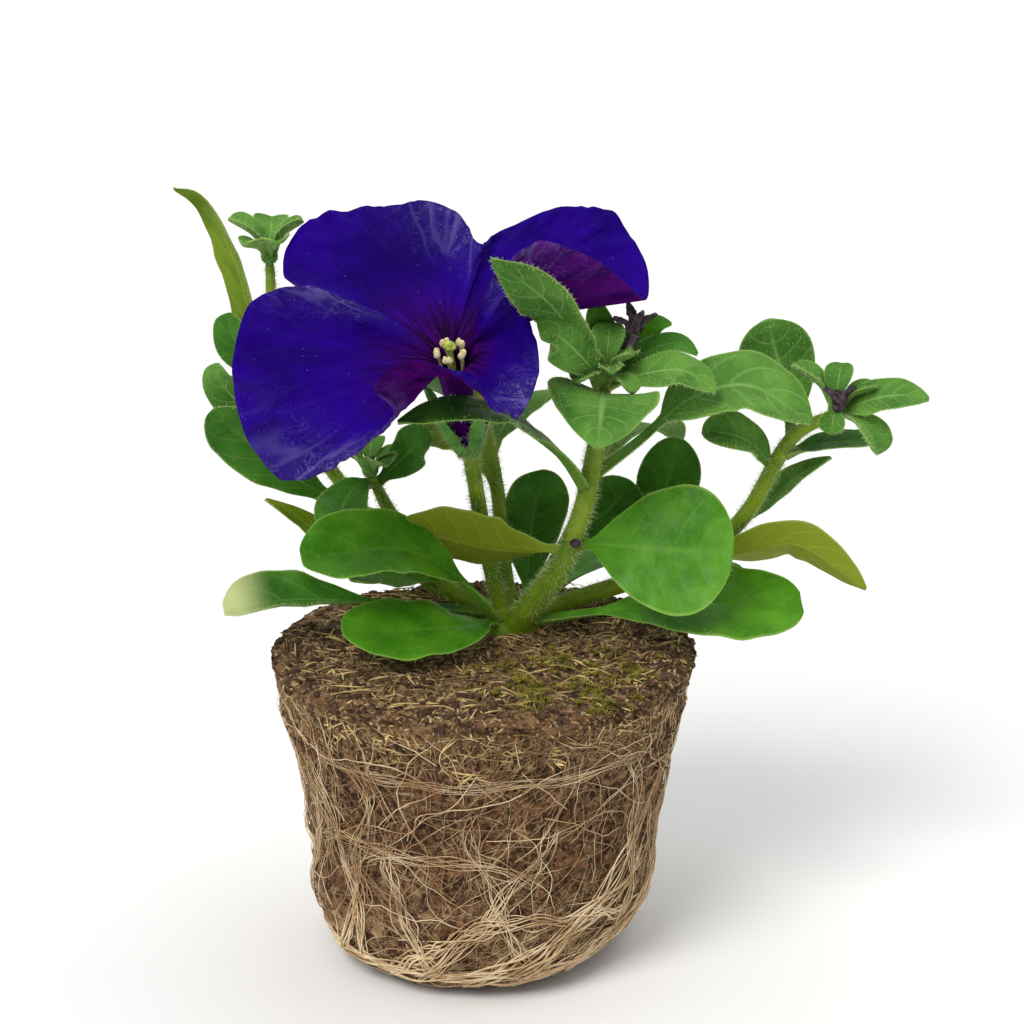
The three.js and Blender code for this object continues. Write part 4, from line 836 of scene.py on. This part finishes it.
# Each leaf is a kind, a width, a tone, the way its top faces, its path and what differs from its kind.
leaves = [
    ("leaf_low_right", "oval", 27, "leaf_green", [-0.1, -0.85, 0.55],
     [[17.6, 0.5, 85], [23.3, -2, 86], [34, -6, 86.5], [49.5, -9, 86]], {}),
    ("leaf_soil_right", "spoon", 21, "leaf_green", [0, -0.45, 1],
     [[8, 9, 66], [23.5, 0, 71.3], [41.5, -2, 73.2], [64.5, 0, 73]], {}),
    ("leaf_low_right_point", "point", 10, "leaf_olive", [0.15, 1, 0.5],
     [[41, 16, 76.5], [53.3, 11.5, 80.6], [64.3, 9, 83], [78, 7, 73.5]], {}),
    ("leaf_low_left", "spoon", 19, "leaf_green", [-0.1, -0.55, 1],
     [[4, 8, 66.5], [-4.5, -4, 79.6], [-17, -9, 87.5], [-35.5, -14, 86.7]], {"fold": 12, "curl": -0.05}),
    ("leaf_mid_left", "oval", 19, "leaf_olive", [0, 0.75, 0.65],
     [[17.5, 0.5, 84.5], [3.5, 1, 85], [-8.5, -1, 88.3], [-16.2, -2, 91]], {"tip": 0.7}),
    ("leaf_soil_left", "oval", 17, "leaf_green", [0, -0.5, 1],
     [[3, 8, 66.5], [-4.5, -6, 70.4], [-16.2, -12, 71.5], [-27.7, -15, 73]], {}),
    ("leaf_far_left", "spoon", 14, "leaf_dark", [0, -0.3, 1],
     [[2, 11, 67], [-20, 6, 71], [-39, 2, 73], [-52.5, 0, 71]], {"petiole": 0.45, "fold": 22, "curl": -0.1}),
    ("leaf_under_flower", "point", 11, "leaf_dark", [-0.2, -0.45, 1],
     [[21, -0.5, 97.5], [15, -8, 107.3], [4.5, -17, 117.1], [-5, -24, 120.1], [-16, -27, 118.3]],
     {"petiole": 0.25, "curl": 0.15}),
    ("leaf_upright_front", "lance", 11, "leaf_pale", [-0.5, -0.8, 0.5],
     [[23.7, -1, 115.5], [19, -6, 127.8], [12.1, -15.5, 139], [2, -27.5, 149.6]], {"fold": 10}),
    ("leaf_front_hang", "point", 22, "leaf_pale", [0, -1, 0.55],
     [[24, -2, 117.5], [23.4, -9, 118], [22.7, -16, 115], [22, -18.5, 110.5]], {"shoulder": 0.4, "curl": -0.08}),
    ("leaf_front_right_large", "point", 17, "leaf_pale", [0.1, -0.6, 1],
     [[21.4, 0.5, 99], [31.2, 2, 106.4], [41, 2, 115], [52.5, 0, 118.2], [64.5, -6, 112]],
     {"petiole": 0.35, "fold": 14, "curl": 0.12}),
    ("leaf_front_right_small", "point", 9.5, "leaf_pale", [0.1, -0.6, 1],
     [[24.2, -1, 118.5], [32.8, -2.5, 121.5], [39.5, -4.5, 122.3], [45.7, -6.5, 118.6]], {"curl": 0.1}),
    ("leaf_front_left_small", "oval", 10, "leaf_pale", [-0.2, -0.9, 0.5],
     [[23.8, -3.4, 119.5], [18.5, -9, 127], [14, -12, 131.5], [11.5, -14, 131.5]], {}),
    ("leaf_front_dark", "point", 6, "leaf_dark", [0, -0.6, 1],
     [[25, 0, 119.5], [32, 3, 124], [38, 3, 126], [42.5, 2, 124]], {}),
    ("leaf_front_point", "lance", 6.5, "leaf_green", [0.2, -1, 0.2],
     [[24.3, 0.5, 119], [23.5, 3, 126.5], [22.5, 3, 131.5], [22, 3, 136]], {}),
    ("leaf_front_back", "point", 7, "leaf_green", [0.1, -0.7, 0.8],
     [[24.6, 1, 119], [30, 6, 125], [34, 7, 128.5], [37.5, 7, 129]], {}),
    ("leaf_right_upright", "oval", 15, "leaf_pale", [-0.1, -0.9, 0.3],
     [[61.8, 8, 104.7], [61.2, 13, 113], [58.3, 12, 122.5], [56.6, 10, 128.9]], {}),
    ("leaf_right_end", "point", 9.5, "leaf_pale", [0.1, -0.6, 1],
     [[69, 3.3, 111], [76.3, 1, 115], [81.9, -1, 116.5], [87.7, -2, 116]], {}),
    ("leaf_right_under", "point", 8, "leaf_dark", [0.1, -0.3, 1],
     [[60.5, 8.7, 102], [68.3, 7.5, 104.4], [75, 5, 105.6], [80.4, 4, 106.4]], {}),
    ("leaf_right_narrow", "lance", 6, "leaf_pale", [-0.2, -0.6, 1],
     [[51.2, 14.6, 84], [57.5, 17, 88.5], [64, 15.5, 95], [70.5, 14, 99.6]], {}),
    ("leaf_right_cup", "oval", 9, "leaf_pale", [0, -0.7, 0.7],
     [[58.5, 10.5, 97], [55, 8, 103], [50, 5, 106.6], [43.5, 5, 107.6]], {"fold": 20, "curl": -0.1}),
    ("leaf_left_small", "oval", 10, "leaf_green", [-0.2, -0.6, 1],
     [[-9, 16, 72.5], [-17, 8, 76], [-22, 2, 78], [-26, -4, 79.6]], {}),
    ("leaf_left_olive", "lance", 6, "leaf_olive", [-0.3, -0.5, 1],
     [[-14, 15.5, 79], [-29, 11, 81.5], [-37, 9, 87.6], [-43.9, 8, 92.6]], {}),
    ("leaf_left_hang", "oval", 11, "leaf_dark", [-0.4, -0.9, 0.4],
     [[-22, 8.5, 96], [-25.5, 3, 96.5], [-28.3, -1, 92.5], [-29.8, -2, 86.6]], {}),
    ("leaf_left_dark", "oval", 9, "leaf_dark", [0, -0.8, 0.6],
     [[-21.5, 9.5, 95], [-15.5, 6, 102], [-12.8, 4, 105.4], [-10.2, 3, 106.5]], {}),
    ("leaf_tall_left", "lance", 8, "leaf_olive", [-0.7, -0.6, 0.3],
     [[-37.3, 16.7, 108], [-44.3, 15, 120.4], [-49, 14, 139], [-54.5, 12, 151.6], [-60.7, 10, 155.4]], {}),
    ("leaf_tall_left_side", "oval", 9, "leaf_dark", [-0.4, -0.8, 0.3],
     [[-40, 14.3, 117], [-45, 11, 119], [-49.2, 9, 124.8], [-50.3, 8, 130.7]], {}),
    ("leaf_tall_left_pale", "oval", 9, "leaf_pale", [-0.4, -0.8, 0.3],
     [[-35.8, 17.2, 104], [-45.8, 12.5, 108.5], [-52.1, 11, 115.3], [-53.3, 10, 119.9]], {}),
    ("leaf_left_broad", "oval", 13, "leaf_dark", [-0.4, -0.9, 0.3],
     [[-24, 20.4, 84.5], [-34, 12, 93], [-44, 7, 102], [-53.5, 2, 112.5]], {"petiole": 0.3, "stalk": 2}),
    ("leaf_mid_behind", "oval", 10, "leaf_olive", [-0.2, -0.6, 0.8],
     [[3, 12.5, 93], [-2.5, 9, 104.5], [-8.5, 8, 107], [-15, 7, 105.5]], {}),
    ("leaf_inner_right", "oval", 13, "leaf_dark", [-0.2, -0.9, 0.3],
     [[33, 16.1, 72.8], [35.3, 20, 84.1], [38.5, 18, 95.4], [40, 17, 102.5]], {}),
    ("leaf_inner_front", "oval", 14, "leaf_dark", [0.3, -0.9, 0.3],
     [[9, 12, 68], [9.3, 16, 77], [10.5, 14, 88.1], [13.1, 13, 96.9]], {}),
    ("leaf_inner_back", "oval", 14, "leaf_dark", [0.1, -0.9, 0.3],
     [[16.5, 24.5, 77.5], [21, 21, 82.5], [26, 17.5, 87.5], [30.3, 16, 93.5]], {}),
    ("leaf_back_left", "spoon", 17, "leaf_green", [-0.1, 0.3, 1],
     [[3, 16, 66], [-8, 27, 70], [-18, 35, 73], [-27, 43, 71.5]], {}),
    ("leaf_back", "spoon", 19, "leaf_green", [0, 0.35, 1],
     [[5.5, 16, 66], [4, 30, 71], [2, 42, 75], [0, 56, 72]], {}),
    ("leaf_back_right", "spoon", 19, "leaf_green", [0.2, 0.3, 1],
     [[8, 15.5, 66], [18, 25, 70], [27, 36, 73], [36, 46, 71]], {}),
    ("leaf_back_far_right", "spoon", 17, "leaf_dark", [0.1, 0.1, 1],
     [[10.5, 13.5, 66.5], [26, 21, 68.5], [42, 27, 71], [55, 31, 70]], {}),
    ("leaf_shoot_back_left", "point", 14, "leaf_green", [-0.1, 0.2, 1],
     [[-0.5, 20, 107], [-11, 31, 111], [-19, 37, 109], [-25, 41, 103]], {}),
    ("leaf_shoot_back", "point", 14, "leaf_pale", [0.1, 0.4, 1],
     [[1.6, 15.8, 99.5], [6, 28, 106], [10, 37, 107], [12, 45, 102]], {}),
    ("leaf_shoot_back_right", "point", 13, "leaf_pale", [0.2, 0.5, 1],
     [[24, 31.3, 93], [31, 38, 98], [37, 43, 98], [42, 47, 93]], {}),
]
leafObjects = {}
for index, (name, kind, width, tone, face, path, more) in enumerate(leaves):
    if width < leafBlade["narrow"]:
        more = {"rows": leafBlade["narrowRows"], "columns": leafBlade["narrowColumns"], **more}
    fuzz = leafBlade["paleFuzz" if tone == "leaf_pale" else "fuzz"]
    points, faces, values = blade(kind, width, face, path, seed=index * 1.3, fuzz=fuzz, **more)
    if name == "leaf_far_left":
        # this leaf is paler towards its tip
        values["bleach"] = smoothStep(0.8, 0.95, values["along"])
    uv = np.stack([values["across"] * 0.5 + 0.5, values["along"]], -1)
    leafObjects[name] = finishPiece(makeMesh(name, points, faces, values, uv), leafSkins[tone], [name])
print("leaves built")

# Each small leaf is a turn, a rise, a length and a width.
shootTips = [
    ("shoot_tip_front", [24.4, -2.3, 121.2], [[80, 74, 10, 5.5], [205, 48, 8, 4.5], [222, 6, 8.5, 5],
     [-20, 48, 7, 4], [-82, 26, 6.5, 4], [-42, -14, 7.5, 4.5], [40, 30, 8, 5]]),
    ("shoot_tip_right", [69.9, 2.4, 113], [[165, 48, 12, 6], [70, 74, 9, 5], [5, 34, 9, 5],
     [-105, -26, 7, 4.5], [-38, -30, 13, 8], [100, 24, 10, 6]]),
    ("shoot_tip_left", [-22.6, 7.6, 98.6], [[180, 40, 8, 5], [250, 45, 6, 4], [-60, 30, 8, 5], [0, 40, 7, 5],
     [90, 45, 8, 5]]),
    ("shoot_tip_far_left", [-42, 10.9, 141.6], [[170, 50, 11, 5.5], [230, 35, 8, 5], [-70, 40, 8, 5],
     [0, 55, 10, 5], [90, 40, 11, 6]]),
    ("shoot_tip_back_left", [-4.3, 26.6, 117.4], [[180, 45, 9, 5.5], [250, 60, 8, 5], [-20, 40, 9, 5.5],
     [80, 30, 10, 6]]),
    ("shoot_tip_back_right", [26.3, 33.2, 99.6], [[160, 45, 9, 5.5], [230, 60, 8, 5], [0, 40, 10, 6],
     [80, 35, 9, 5.5]]),
]


def sprayBlade(centre, row, kind, **size):
    turn, rise, length, width = row
    path = [centre + heading(turn, rise) * 0.8, centre + heading(turn, rise + 10) * length * 0.5,
            centre + heading(turn, rise - 6) * length]
    return blade(kind, width, heading(turn + 180, 90 - rise), path, stalk=0.6, seed=turn, **size)


knob = {"along": 0.3, "across": 0.5, "under": 0.0, "hair": 1.0}
tipBlade = {"rows": 20, "columns": 11, "fold": 16, "curl": -0.1, "tip": 0.42}
tipObjects = {}
for name, centre, small in shootTips:
    centre = np.array(centre, float)
    parts = [(*ball(centre, [1.7, 1.7, 1.7], 8, 12), knob)]
    parts += [sprayBlade(centre, row[:3] + [row[3] * 1.22], "oval", **tipBlade) for row in small]
    tipObjects[name] = finishPiece(makeMesh(name, *joinParts(parts)), leafSkins["leaf_pale"], [name])
print("shoot tips built")

# Each spoke of the limb is a turn at the throat, a point on the rim and one half way in.
spokes = [
    (49, [31.5, -4, 136.5], [13, -5.4, 133.8]), (54, [32, 6, 141.5], [15.6, 1.3, 138.2]),
    (60, [25.7, 17, 149], [12.5, 4, 142]), (68, [15.4, 17, 150], [6.4, 4, 140.8]),
    (77, [3.5, 10, 146.8], [-0.4, 0, 138.3]), (83, [-0.6, 4, 145.3], [-3.2, -4, 137.8]),
    (91, [-4.4, 12, 149.6], [-5.6, 0, 138.7]), (98, [-11.4, 16, 151.8], [-8.9, 2, 139.8]),
    (107, [-19.5, 16, 150.6], [-13.1, 3, 140.2]), (119, [-31.1, 15, 149.4], [-18.9, 3, 139]),
    (129, [-37.6, 7, 145.7], [-21.7, 0, 137.3]), (138, [-37.9, -1, 140.5], [-22.5, -5, 135.5]),
    (147, [-27, -10, 138.1], [-16.4, -13, 134.1]), (160, [-34.3, -14, 141.7], [-18.2, -17, 133.5]),
    (170, [-43.5, -18, 139], [-24.4, -18, 132.8]), (192, [-45.9, -30, 130.1], [-25.5, -24, 128.5]),
    (209, [-43.4, -38, 119.5], [-25.3, -29, 124.1]), (224, [-35.9, -43, 111.8], [-23.2, -34, 119.7]),
    (234, [-24.7, -42, 115.3], [-17.6, -34, 120.6]), (240, [-16.5, -38, 122.1], [-12.7, -31, 124]),
    (245, [-19, -38, 127.8], [-11.6, -29, 127.3]), (253, [-14.5, -40, 133.1], [-9.3, -31, 128.6]),
    (265, [-8.7, -38, 133.1], [-7, -30, 128.4]), (286, [-1.1, -36, 127.5], [-3.4, -29, 128.5]),
    (305, [6, -34, 121], [0.2, -27, 125.5]), (331, [9.8, -26, 123.8], [2.5, -23, 126.3]),
    (355, [11, -19, 128.2], [4, -20, 129]), (18, [8.9, -11.7, 135.2], [3.6, -16.9, 133]),
    (28, [5.1, -14.6, 140.6], [1.1, -19.8, 135.8]), (36, [2.7, -9, 142.2], [-0.3, -12.5, 136]),
    (41, [11.2, -7.6, 148.6], [5.1, -9.4, 138]), (45, [22.6, -9, 144.9], [8.9, -7.5, 136.1]),
]
# The tube has depths and radii; each band of painted sheen has a place on the rim, a width and a strength.
bloom = {"columns": 320, "rows": 84, "tubeRows": 22, "thickness": 0.45, "pleat": 0.84, "crinkle": 0.6,
         "tube": [(24, 2.0), (13, 2.4), (5.5, 2.9), (1, 4.4)],
         "satin": [(0.19, 0.045, 0.75), (0.39, 0.03, 0.85), (0.56, 0.045, 0.95), (0.77, 0.032, 0.95),
                   (0.92, 0.04, 0.6)]}


def sheetNormals(grid):
    around = np.roll(grid, -1, 1) - np.roll(grid, 1, 1)
    outer = np.concatenate([grid[1:2] - grid[:1], grid[2:] - grid[:-2], grid[-1:] - grid[-2:-1]])
    return unit(np.cross(around, outer))


def buildCorolla():
    columns = bloom["columns"]
    t = (1 - np.arange(columns) / columns) % 1
    rim = closedCurve([s[1] for s in spokes], t)
    half = closedCurve([s[2] for s in spokes], t)
    turns = np.array([s[0] for s in spokes], float)
    ahead = (np.roll(turns, -1) - turns) % 360
    place = t * len(spokes)
    first = place.astype(int) % len(spokes)
    turn = np.radians(turns[first] + ahead[first] * (place - place.astype(int)))
    tube = [onAxis(np.full(columns, depth), np.full(columns, radius), turn) for depth, radius in bloom["tube"]]
    control = np.stack(tube + [half, rim])
    station = np.concatenate([np.linspace(0, 0.4, bloom["tubeRows"], endpoint=False),
                              np.linspace(0.4, 1, bloom["rows"] - bloom["tubeRows"])])
    upper = np.stack([openCurve(control[:, c], station) for c in range(columns)], 1)
    rows = len(station)
    reach = np.clip((station - 0.55) / 0.45, 0, 1)
    rimLength = np.cumsum(np.linalg.norm(np.roll(rim, -1, 0) - rim, axis=1))
    pleats = np.stack([np.tile(rimLength, rows) * 0.45, np.repeat(reach, columns) * 5,
                       np.zeros(rows * columns)], -1)
    pleat = grain(pleats, 1.6, 2.0, 3).reshape(rows, columns)
    crinkle = grain(upper.reshape(-1, 3), 3.2, 5.0, 3).reshape(rows, columns)
    seam = smoothStep(0, 0.02, 0.5 - 0.5 * np.cos(2 * math.pi * np.arange(columns) / columns))
    relief = (bloom["pleat"] * pleat + bloom["crinkle"] * crinkle) * (reach[:, None] ** 1.3 * seam)
    upper = upper + sheetNormals(upper) * relief[..., None]
    thickness = (bloom["thickness"] * (1 - 0.35 * reach))[:, None, None]
    lower = upper - sheetNormals(upper) * thickness
    points, faces = closedSheet(upper, lower, True)
    turnShare = np.arange(columns) / columns
    satin = np.zeros((rows, columns))
    # bands of painted sheen along the folded lobe edges, strongest towards the rim
    for where, wide, strong in bloom["satin"]:
        near = np.exp(-((turnShare - (1 - where)) / wide) ** 2)
        satin = np.maximum(satin, strong * near * smoothStep(0.55, 0.95, reach)[:, None])
    values = {"reach": np.tile(np.repeat(reach, columns), 2), "under": np.repeat([0.0, 1.0], rows * columns),
              "round": np.tile(rimLength, 2 * rows) * 0.1, "satin": np.tile(satin.ravel(), 2)}
    uv = np.stack([np.tile(turnShare, 2 * rows), values["reach"]], -1)
    return makeMesh("corolla", points, faces, values, uv)


finishPiece(buildCorolla(), petal, ["corolla"])
print("corolla built")


def lumpy(points, centre, size, depth, seed):
    # knobs on a small rounded piece
    return points + unit(points - centre) * (grain(points, size, seed, 3) * depth)[:, None]


def buildPistil():
    style = sweep([onAxis(24), onAxis(12), onAxis(-1.2)], [0.9, 0.55, 0.5], 14, 30)
    centre = onAxis(-1.8)
    p, f = ball(centre, [1.25, 1.1, 0.9], 22, 30)
    return makeMesh("pistil", *joinParts([(*style, {}), (lumpy(p, centre, 0.5, 0.28, 4.0), f, {})]))


def buildStamens():
    # filaments on a ring at the foot of the tube, each with a pair of anthers
    ring = onAxis(np.full(25, 22.8), np.full(25, 1.35), np.linspace(0, 2 * math.pi, 25))
    parts = [(*sweep(ring, [0.3, 0.3], 8, 24), {})]
    for k in range(5):
        turn = 2 * math.pi * k / 5 - 0.5
        path = [onAxis(22.8, 1.35, turn), onAxis(12, 1.55, turn), onAxis(-0.2, 2.5, turn)]
        parts.append((*sweep(path, [0.3, 0.28, 0.3], 8, 24), {}))
        for side in (-0.45, 0.45):
            centre = onAxis(-0.6, 2.6, turn + side * 0.34)
            p, f = ball(centre, [0.62, 0.62, 0.8], 14, 18)
            parts.append((lumpy(p, centre, 0.35, 0.16, k + side), f, {}))
    return makeMesh("stamens", *joinParts(parts))


def buildCalyx():
    parts = [(*sweep([onAxis(28), onAxis(26), onAxis(24.3)], [1.9, 2.7, 3.3], 30, 12), knob)]
    for k in range(5):
        turn = 2 * math.pi * k / 5 + 0.3
        path = [onAxis(26, 2, turn), onAxis(19, 4.6, turn), onAxis(11, 6.6, turn)]
        face = throat - onAxis(0, 1, turn)
        parts.append(blade("sepal", 3.6, face, path, rows=24, columns=9, stalk=0.9, seed=k))
    return makeMesh("calyx", *joinParts(parts))


finishPiece(buildPistil(), stigmaSkin, ["pistil"])
finishPiece(buildStamens(), pollen, ["stamens"])
calyxObject = finishPiece(buildCalyx(), calyxSkin, ["calyx"])

# Each dried bud is a path, the turn of its first sepal and the length of its sepals.
dryBuds = [
    ("dry_bud_front", [[24.6, -2, 121], [28, -0.5, 125], [29.8, 0, 128.5]], 20, 6),
    ("dry_bud_right", [[69.9, 2, 113.2], [70.2, -0.4, 114.2]], -85, 4),
]
for name, path, turn, length in dryBuds:
    parts = [(*sweep(path, [0.8, 1.3], 12, 10), {**knob, "hair": 0.0})]
    end = np.array(path[-1], float)
    for k in range(4):
        row = [turn + 90 * k, 48 + 12 * (k % 2), length + k % 2, 1.7]
        parts.append(sprayBlade(end, row, "sepal", rows=16, columns=7))
    points, faces, values = joinParts(parts)
    points = points + grain(points, 1.1, turn)[:, None] * 0.25
    finishPiece(makeMesh(name, points, faces, values), drySkin, [name])
scarCentre = np.array([18.4, -1.6, 86.2])
points, faces = ball(scarCentre, [1.1, 1.2, 1.0], 16, 24)
points = lumpy(points, scarCentre, 0.7, 0.3, 6.0)
finishPiece(makeMesh("node scar", points, faces), drySkin, ["node_scar"])
print("flower and buds built")

fur = {"thickness": 0.04, "lean": 0.45, "seed": 5}


def hairsOn(objects, name, density, length):
    # hairs to a square millimetre, thinned out by the skin's hair values
    parts = []
    for obj in objects:
        mesh = obj.data
        points = np.array([v.co[:] for v in mesh.vertices]) / mm
        faces = [list(f.vertices) for f in mesh.polygons]
        layer = np.empty(len(points), np.float32)
        mesh.attributes["hair"].data.foreach_get("value", layer)
        parts.append((points, faces, {"hair": layer}))
    base = makeMesh(name + " skin", *joinParts(parts))
    coat = grow(base, hairs, {"Density": density * 1e6, "Length": length * mm, "Thickness": fur["thickness"] * mm,
                              "Spread": fur["lean"], "Seed": fur["seed"], "Material": hairSkin}, name)
    finishPiece(coat, None)


lowLeaves = [leafObjects[row[0]] for row in leaves if row[3] in ("leaf_green", "leaf_olive")]
shootLeaves = [leafObjects[row[0]] for row in leaves if row[3] in ("leaf_pale", "leaf_dark")]
hairsOn([stemObject, calyxObject], "stem hairs", 3.4, 1.5)
hairsOn(shootLeaves + list(tipObjects.values()), "shoot leaf hairs", 4.76, 0.765)
hairsOn(lowLeaves, "low leaf hairs", 1.02, 0.9)
print("hairs built")

soil = {"fibres": 620, "wallFibres": 420, "fibreThickness": 0.12, "fibreSeed": 23, "reach": 42}


def buildFibres():
    # short straw on the top of the ball, then just below its rim
    random = np.random.default_rng(soil["fibreSeed"])
    lines, widths = [], []
    for _ in range(soil["fibres"]):
        turn, radius = random.uniform(-math.pi, math.pi), 41 * math.sqrt(random.uniform(0.02, 1))
        steps = int(random.uniform(3, 8))
        bend = random.uniform(0, 6.3) + np.cumsum(random.normal(0, 0.05, steps))
        x = radius * math.cos(turn) + np.cumsum(np.cos(bend))
        y = radius * math.sin(turn) + np.cumsum(np.sin(bend))
        if np.hypot(x, y).max() >= soil["reach"]:
            continue
        u = np.linspace(0, 1, steps)
        z = topShape(x, y) + 0.5 + random.uniform(0, 0.3) * np.sin(math.pi * u)
        lines.append(np.stack([x, y, z + random.uniform(-0.5, 0.9) * u], -1))
        ends = np.minimum(1, 4 * np.minimum(u, 1 - u) + 0.3)
        widths.append(soil["fibreThickness"] * random.uniform(0.5, 1.7) * ends)
    for _ in range(soil["wallFibres"]):
        steps = int(random.uniform(4, 8))
        bend = random.uniform(0, 6.3) + np.cumsum(random.normal(0, 0.1, steps))
        start = [random.uniform(-math.pi, math.pi) * rootBall["waist"], random.uniform(50, 61)]
        plan = np.stack([start[0] + np.cumsum(np.cos(bend)) * 0.9, start[1] + np.cumsum(np.sin(bend)) * 0.7,
                         np.zeros(steps)], -1)
        if plan[:, 1].max() < 62:
            lines.append(onWall(plan, random.uniform(-0.1, 0.3) - wornShare(plan[:, 1])))
            widths.append(np.full(steps, soil["fibreThickness"] * random.uniform(0.5, 1.5)))
    return lines, widths


def pebble(name, size, seed):
    p, f = ball([0, 0, 0], [size, size * 0.8, size * 0.65], 3, 5)
    p = p * (1 + 0.5 * grain(p, size * 1.3, seed, 2))[:, None]
    return makeMesh(name, p, f, smooth=False)


def strawFlake():
    p, f = ball([0, 0, 0.1], [1.0, 0.3, 0.1], 3, 5)
    p = p * (1 + 0.4 * grain(p, 0.9, 9.0, 2))[:, None]
    return makeMesh("straw flake", p, f, smooth=False)


def mossTuft():
    parts = []
    for k in range(5):
        way = heading(72 * k + 10, 52 if k % 2 else 70)
        path = [[0, 0, 0], way * 0.5, way * 1.1 + [0, 0, -0.05]]
        parts.append((*sweep(path, [0.16, 0.14, 0.03], 3, 2), {}))
    return makeMesh("moss tuft", *joinParts(parts))


strandPiece("straw fibres", buildFibres(), 4, straw)
# Each kind has a shape, the values that thin it out, how many lie on a square millimetre, its smallest
# and largest size, a skin, a slot and a seed.
scattered = [
    ("soil crumbs", pebble("crumb", 0.8, 1.0), "rim", 0.25, 0.5, 1.7, crumb, "peat", 3),
    ("soil grains", pebble("grain", 0.35, 2.0), "rim", 0.2, 0.5, 1.5, grit, "peat", 4),
    ("wall crumbs", pebble("clod", 0.42, 3.0), "wall", 0.17, 0.4, 1.6, crumb, "peat", 5),
    ("rim grains", pebble("rim grain", 0.3, 5.0), "silt", 0.3, 0.5, 1.6, grit, "peat", 7),
    ("straw flakes", strawFlake(), "silt", 0.3, 0.4, 1.3, straw, "root", 8),
    ("moss", mossTuft(), "moss", 1.1, 0.7, 1.5, mossSkin, "leaf_green", 6),
]
for name, shape, mask, density, small, large, material, slotName, seed in scattered:
    base = addObject(name + " ground", ballObject.data.copy())
    piece = grow(base, scatter, {"Shape": shape, "Mask": mask, "Density": density * 1e6, "Small": small,
                                 "Large": large, "Lean": 0.3, "Seed": seed, "Material": material}, name)
    finishPiece(piece, None)
    bpy.data.objects.remove(shape)
print("soil built")

room = {"light": 0.62, "floorReach": 4, "floorTone": (0.86, 0.86, 0.86, 1)}
# Each sun has a place to shine from, an angle, a strength and a tint.
suns = [
    ("high window", (-0.5, -0.8, 1.0), 0.5, 2.0, (1.0, 0.985, 0.96)),
    ("overhead panel", (0.25, 0.3, 1.0), 1.0, 0.7, (1.0, 1.0, 1.0)),
]
view = {"lens": 104.51, "place": (0.00585, -0.563816, 0.269212), "tilt": 72.562}

far = room["floorReach"]
floorMesh = bpy.data.meshes.new("floor")
floorMesh.from_pydata([(-far, -far, 0), (far, -far, 0), (far, far, 0), (-far, far, 0)], [], [(0, 1, 2, 3)])
paper = Shader("white paper floor")
paper.set(Base_Color=room["floorTone"], Roughness=0.9, Specular_IOR_Level=0.1)
floorMesh.materials.append(paper.material)
addObject("floor", floorMesh)

world = bpy.data.worlds.new("soft white room")
world.use_nodes = True
background = world.node_tree.nodes["Background"].inputs
background["Color"].default_value = (1.0, 1.0, 1.0, 1)
background["Strength"].default_value = room["light"]
bpy.context.scene.world = world
for name, place, angle, strength, tint in suns:
    light = bpy.data.lights.new(name, "SUN")
    light.angle, light.energy, light.color = angle, strength, tint
    lamp = addObject(name, light)
    lamp.location = place
    lamp.rotation_euler = (-Vector(place)).to_track_quat("-Z", "Y").to_euler()

camera = addObject("camera", bpy.data.cameras.new("camera"))
camera.data.lens = view["lens"]
camera.location = view["place"]
camera.rotation_euler = (math.radians(view["tilt"]), 0, 0)
bpy.context.scene.camera = camera
bpy.context.scene.view_settings.view_transform = "Standard"

print("scene finished")
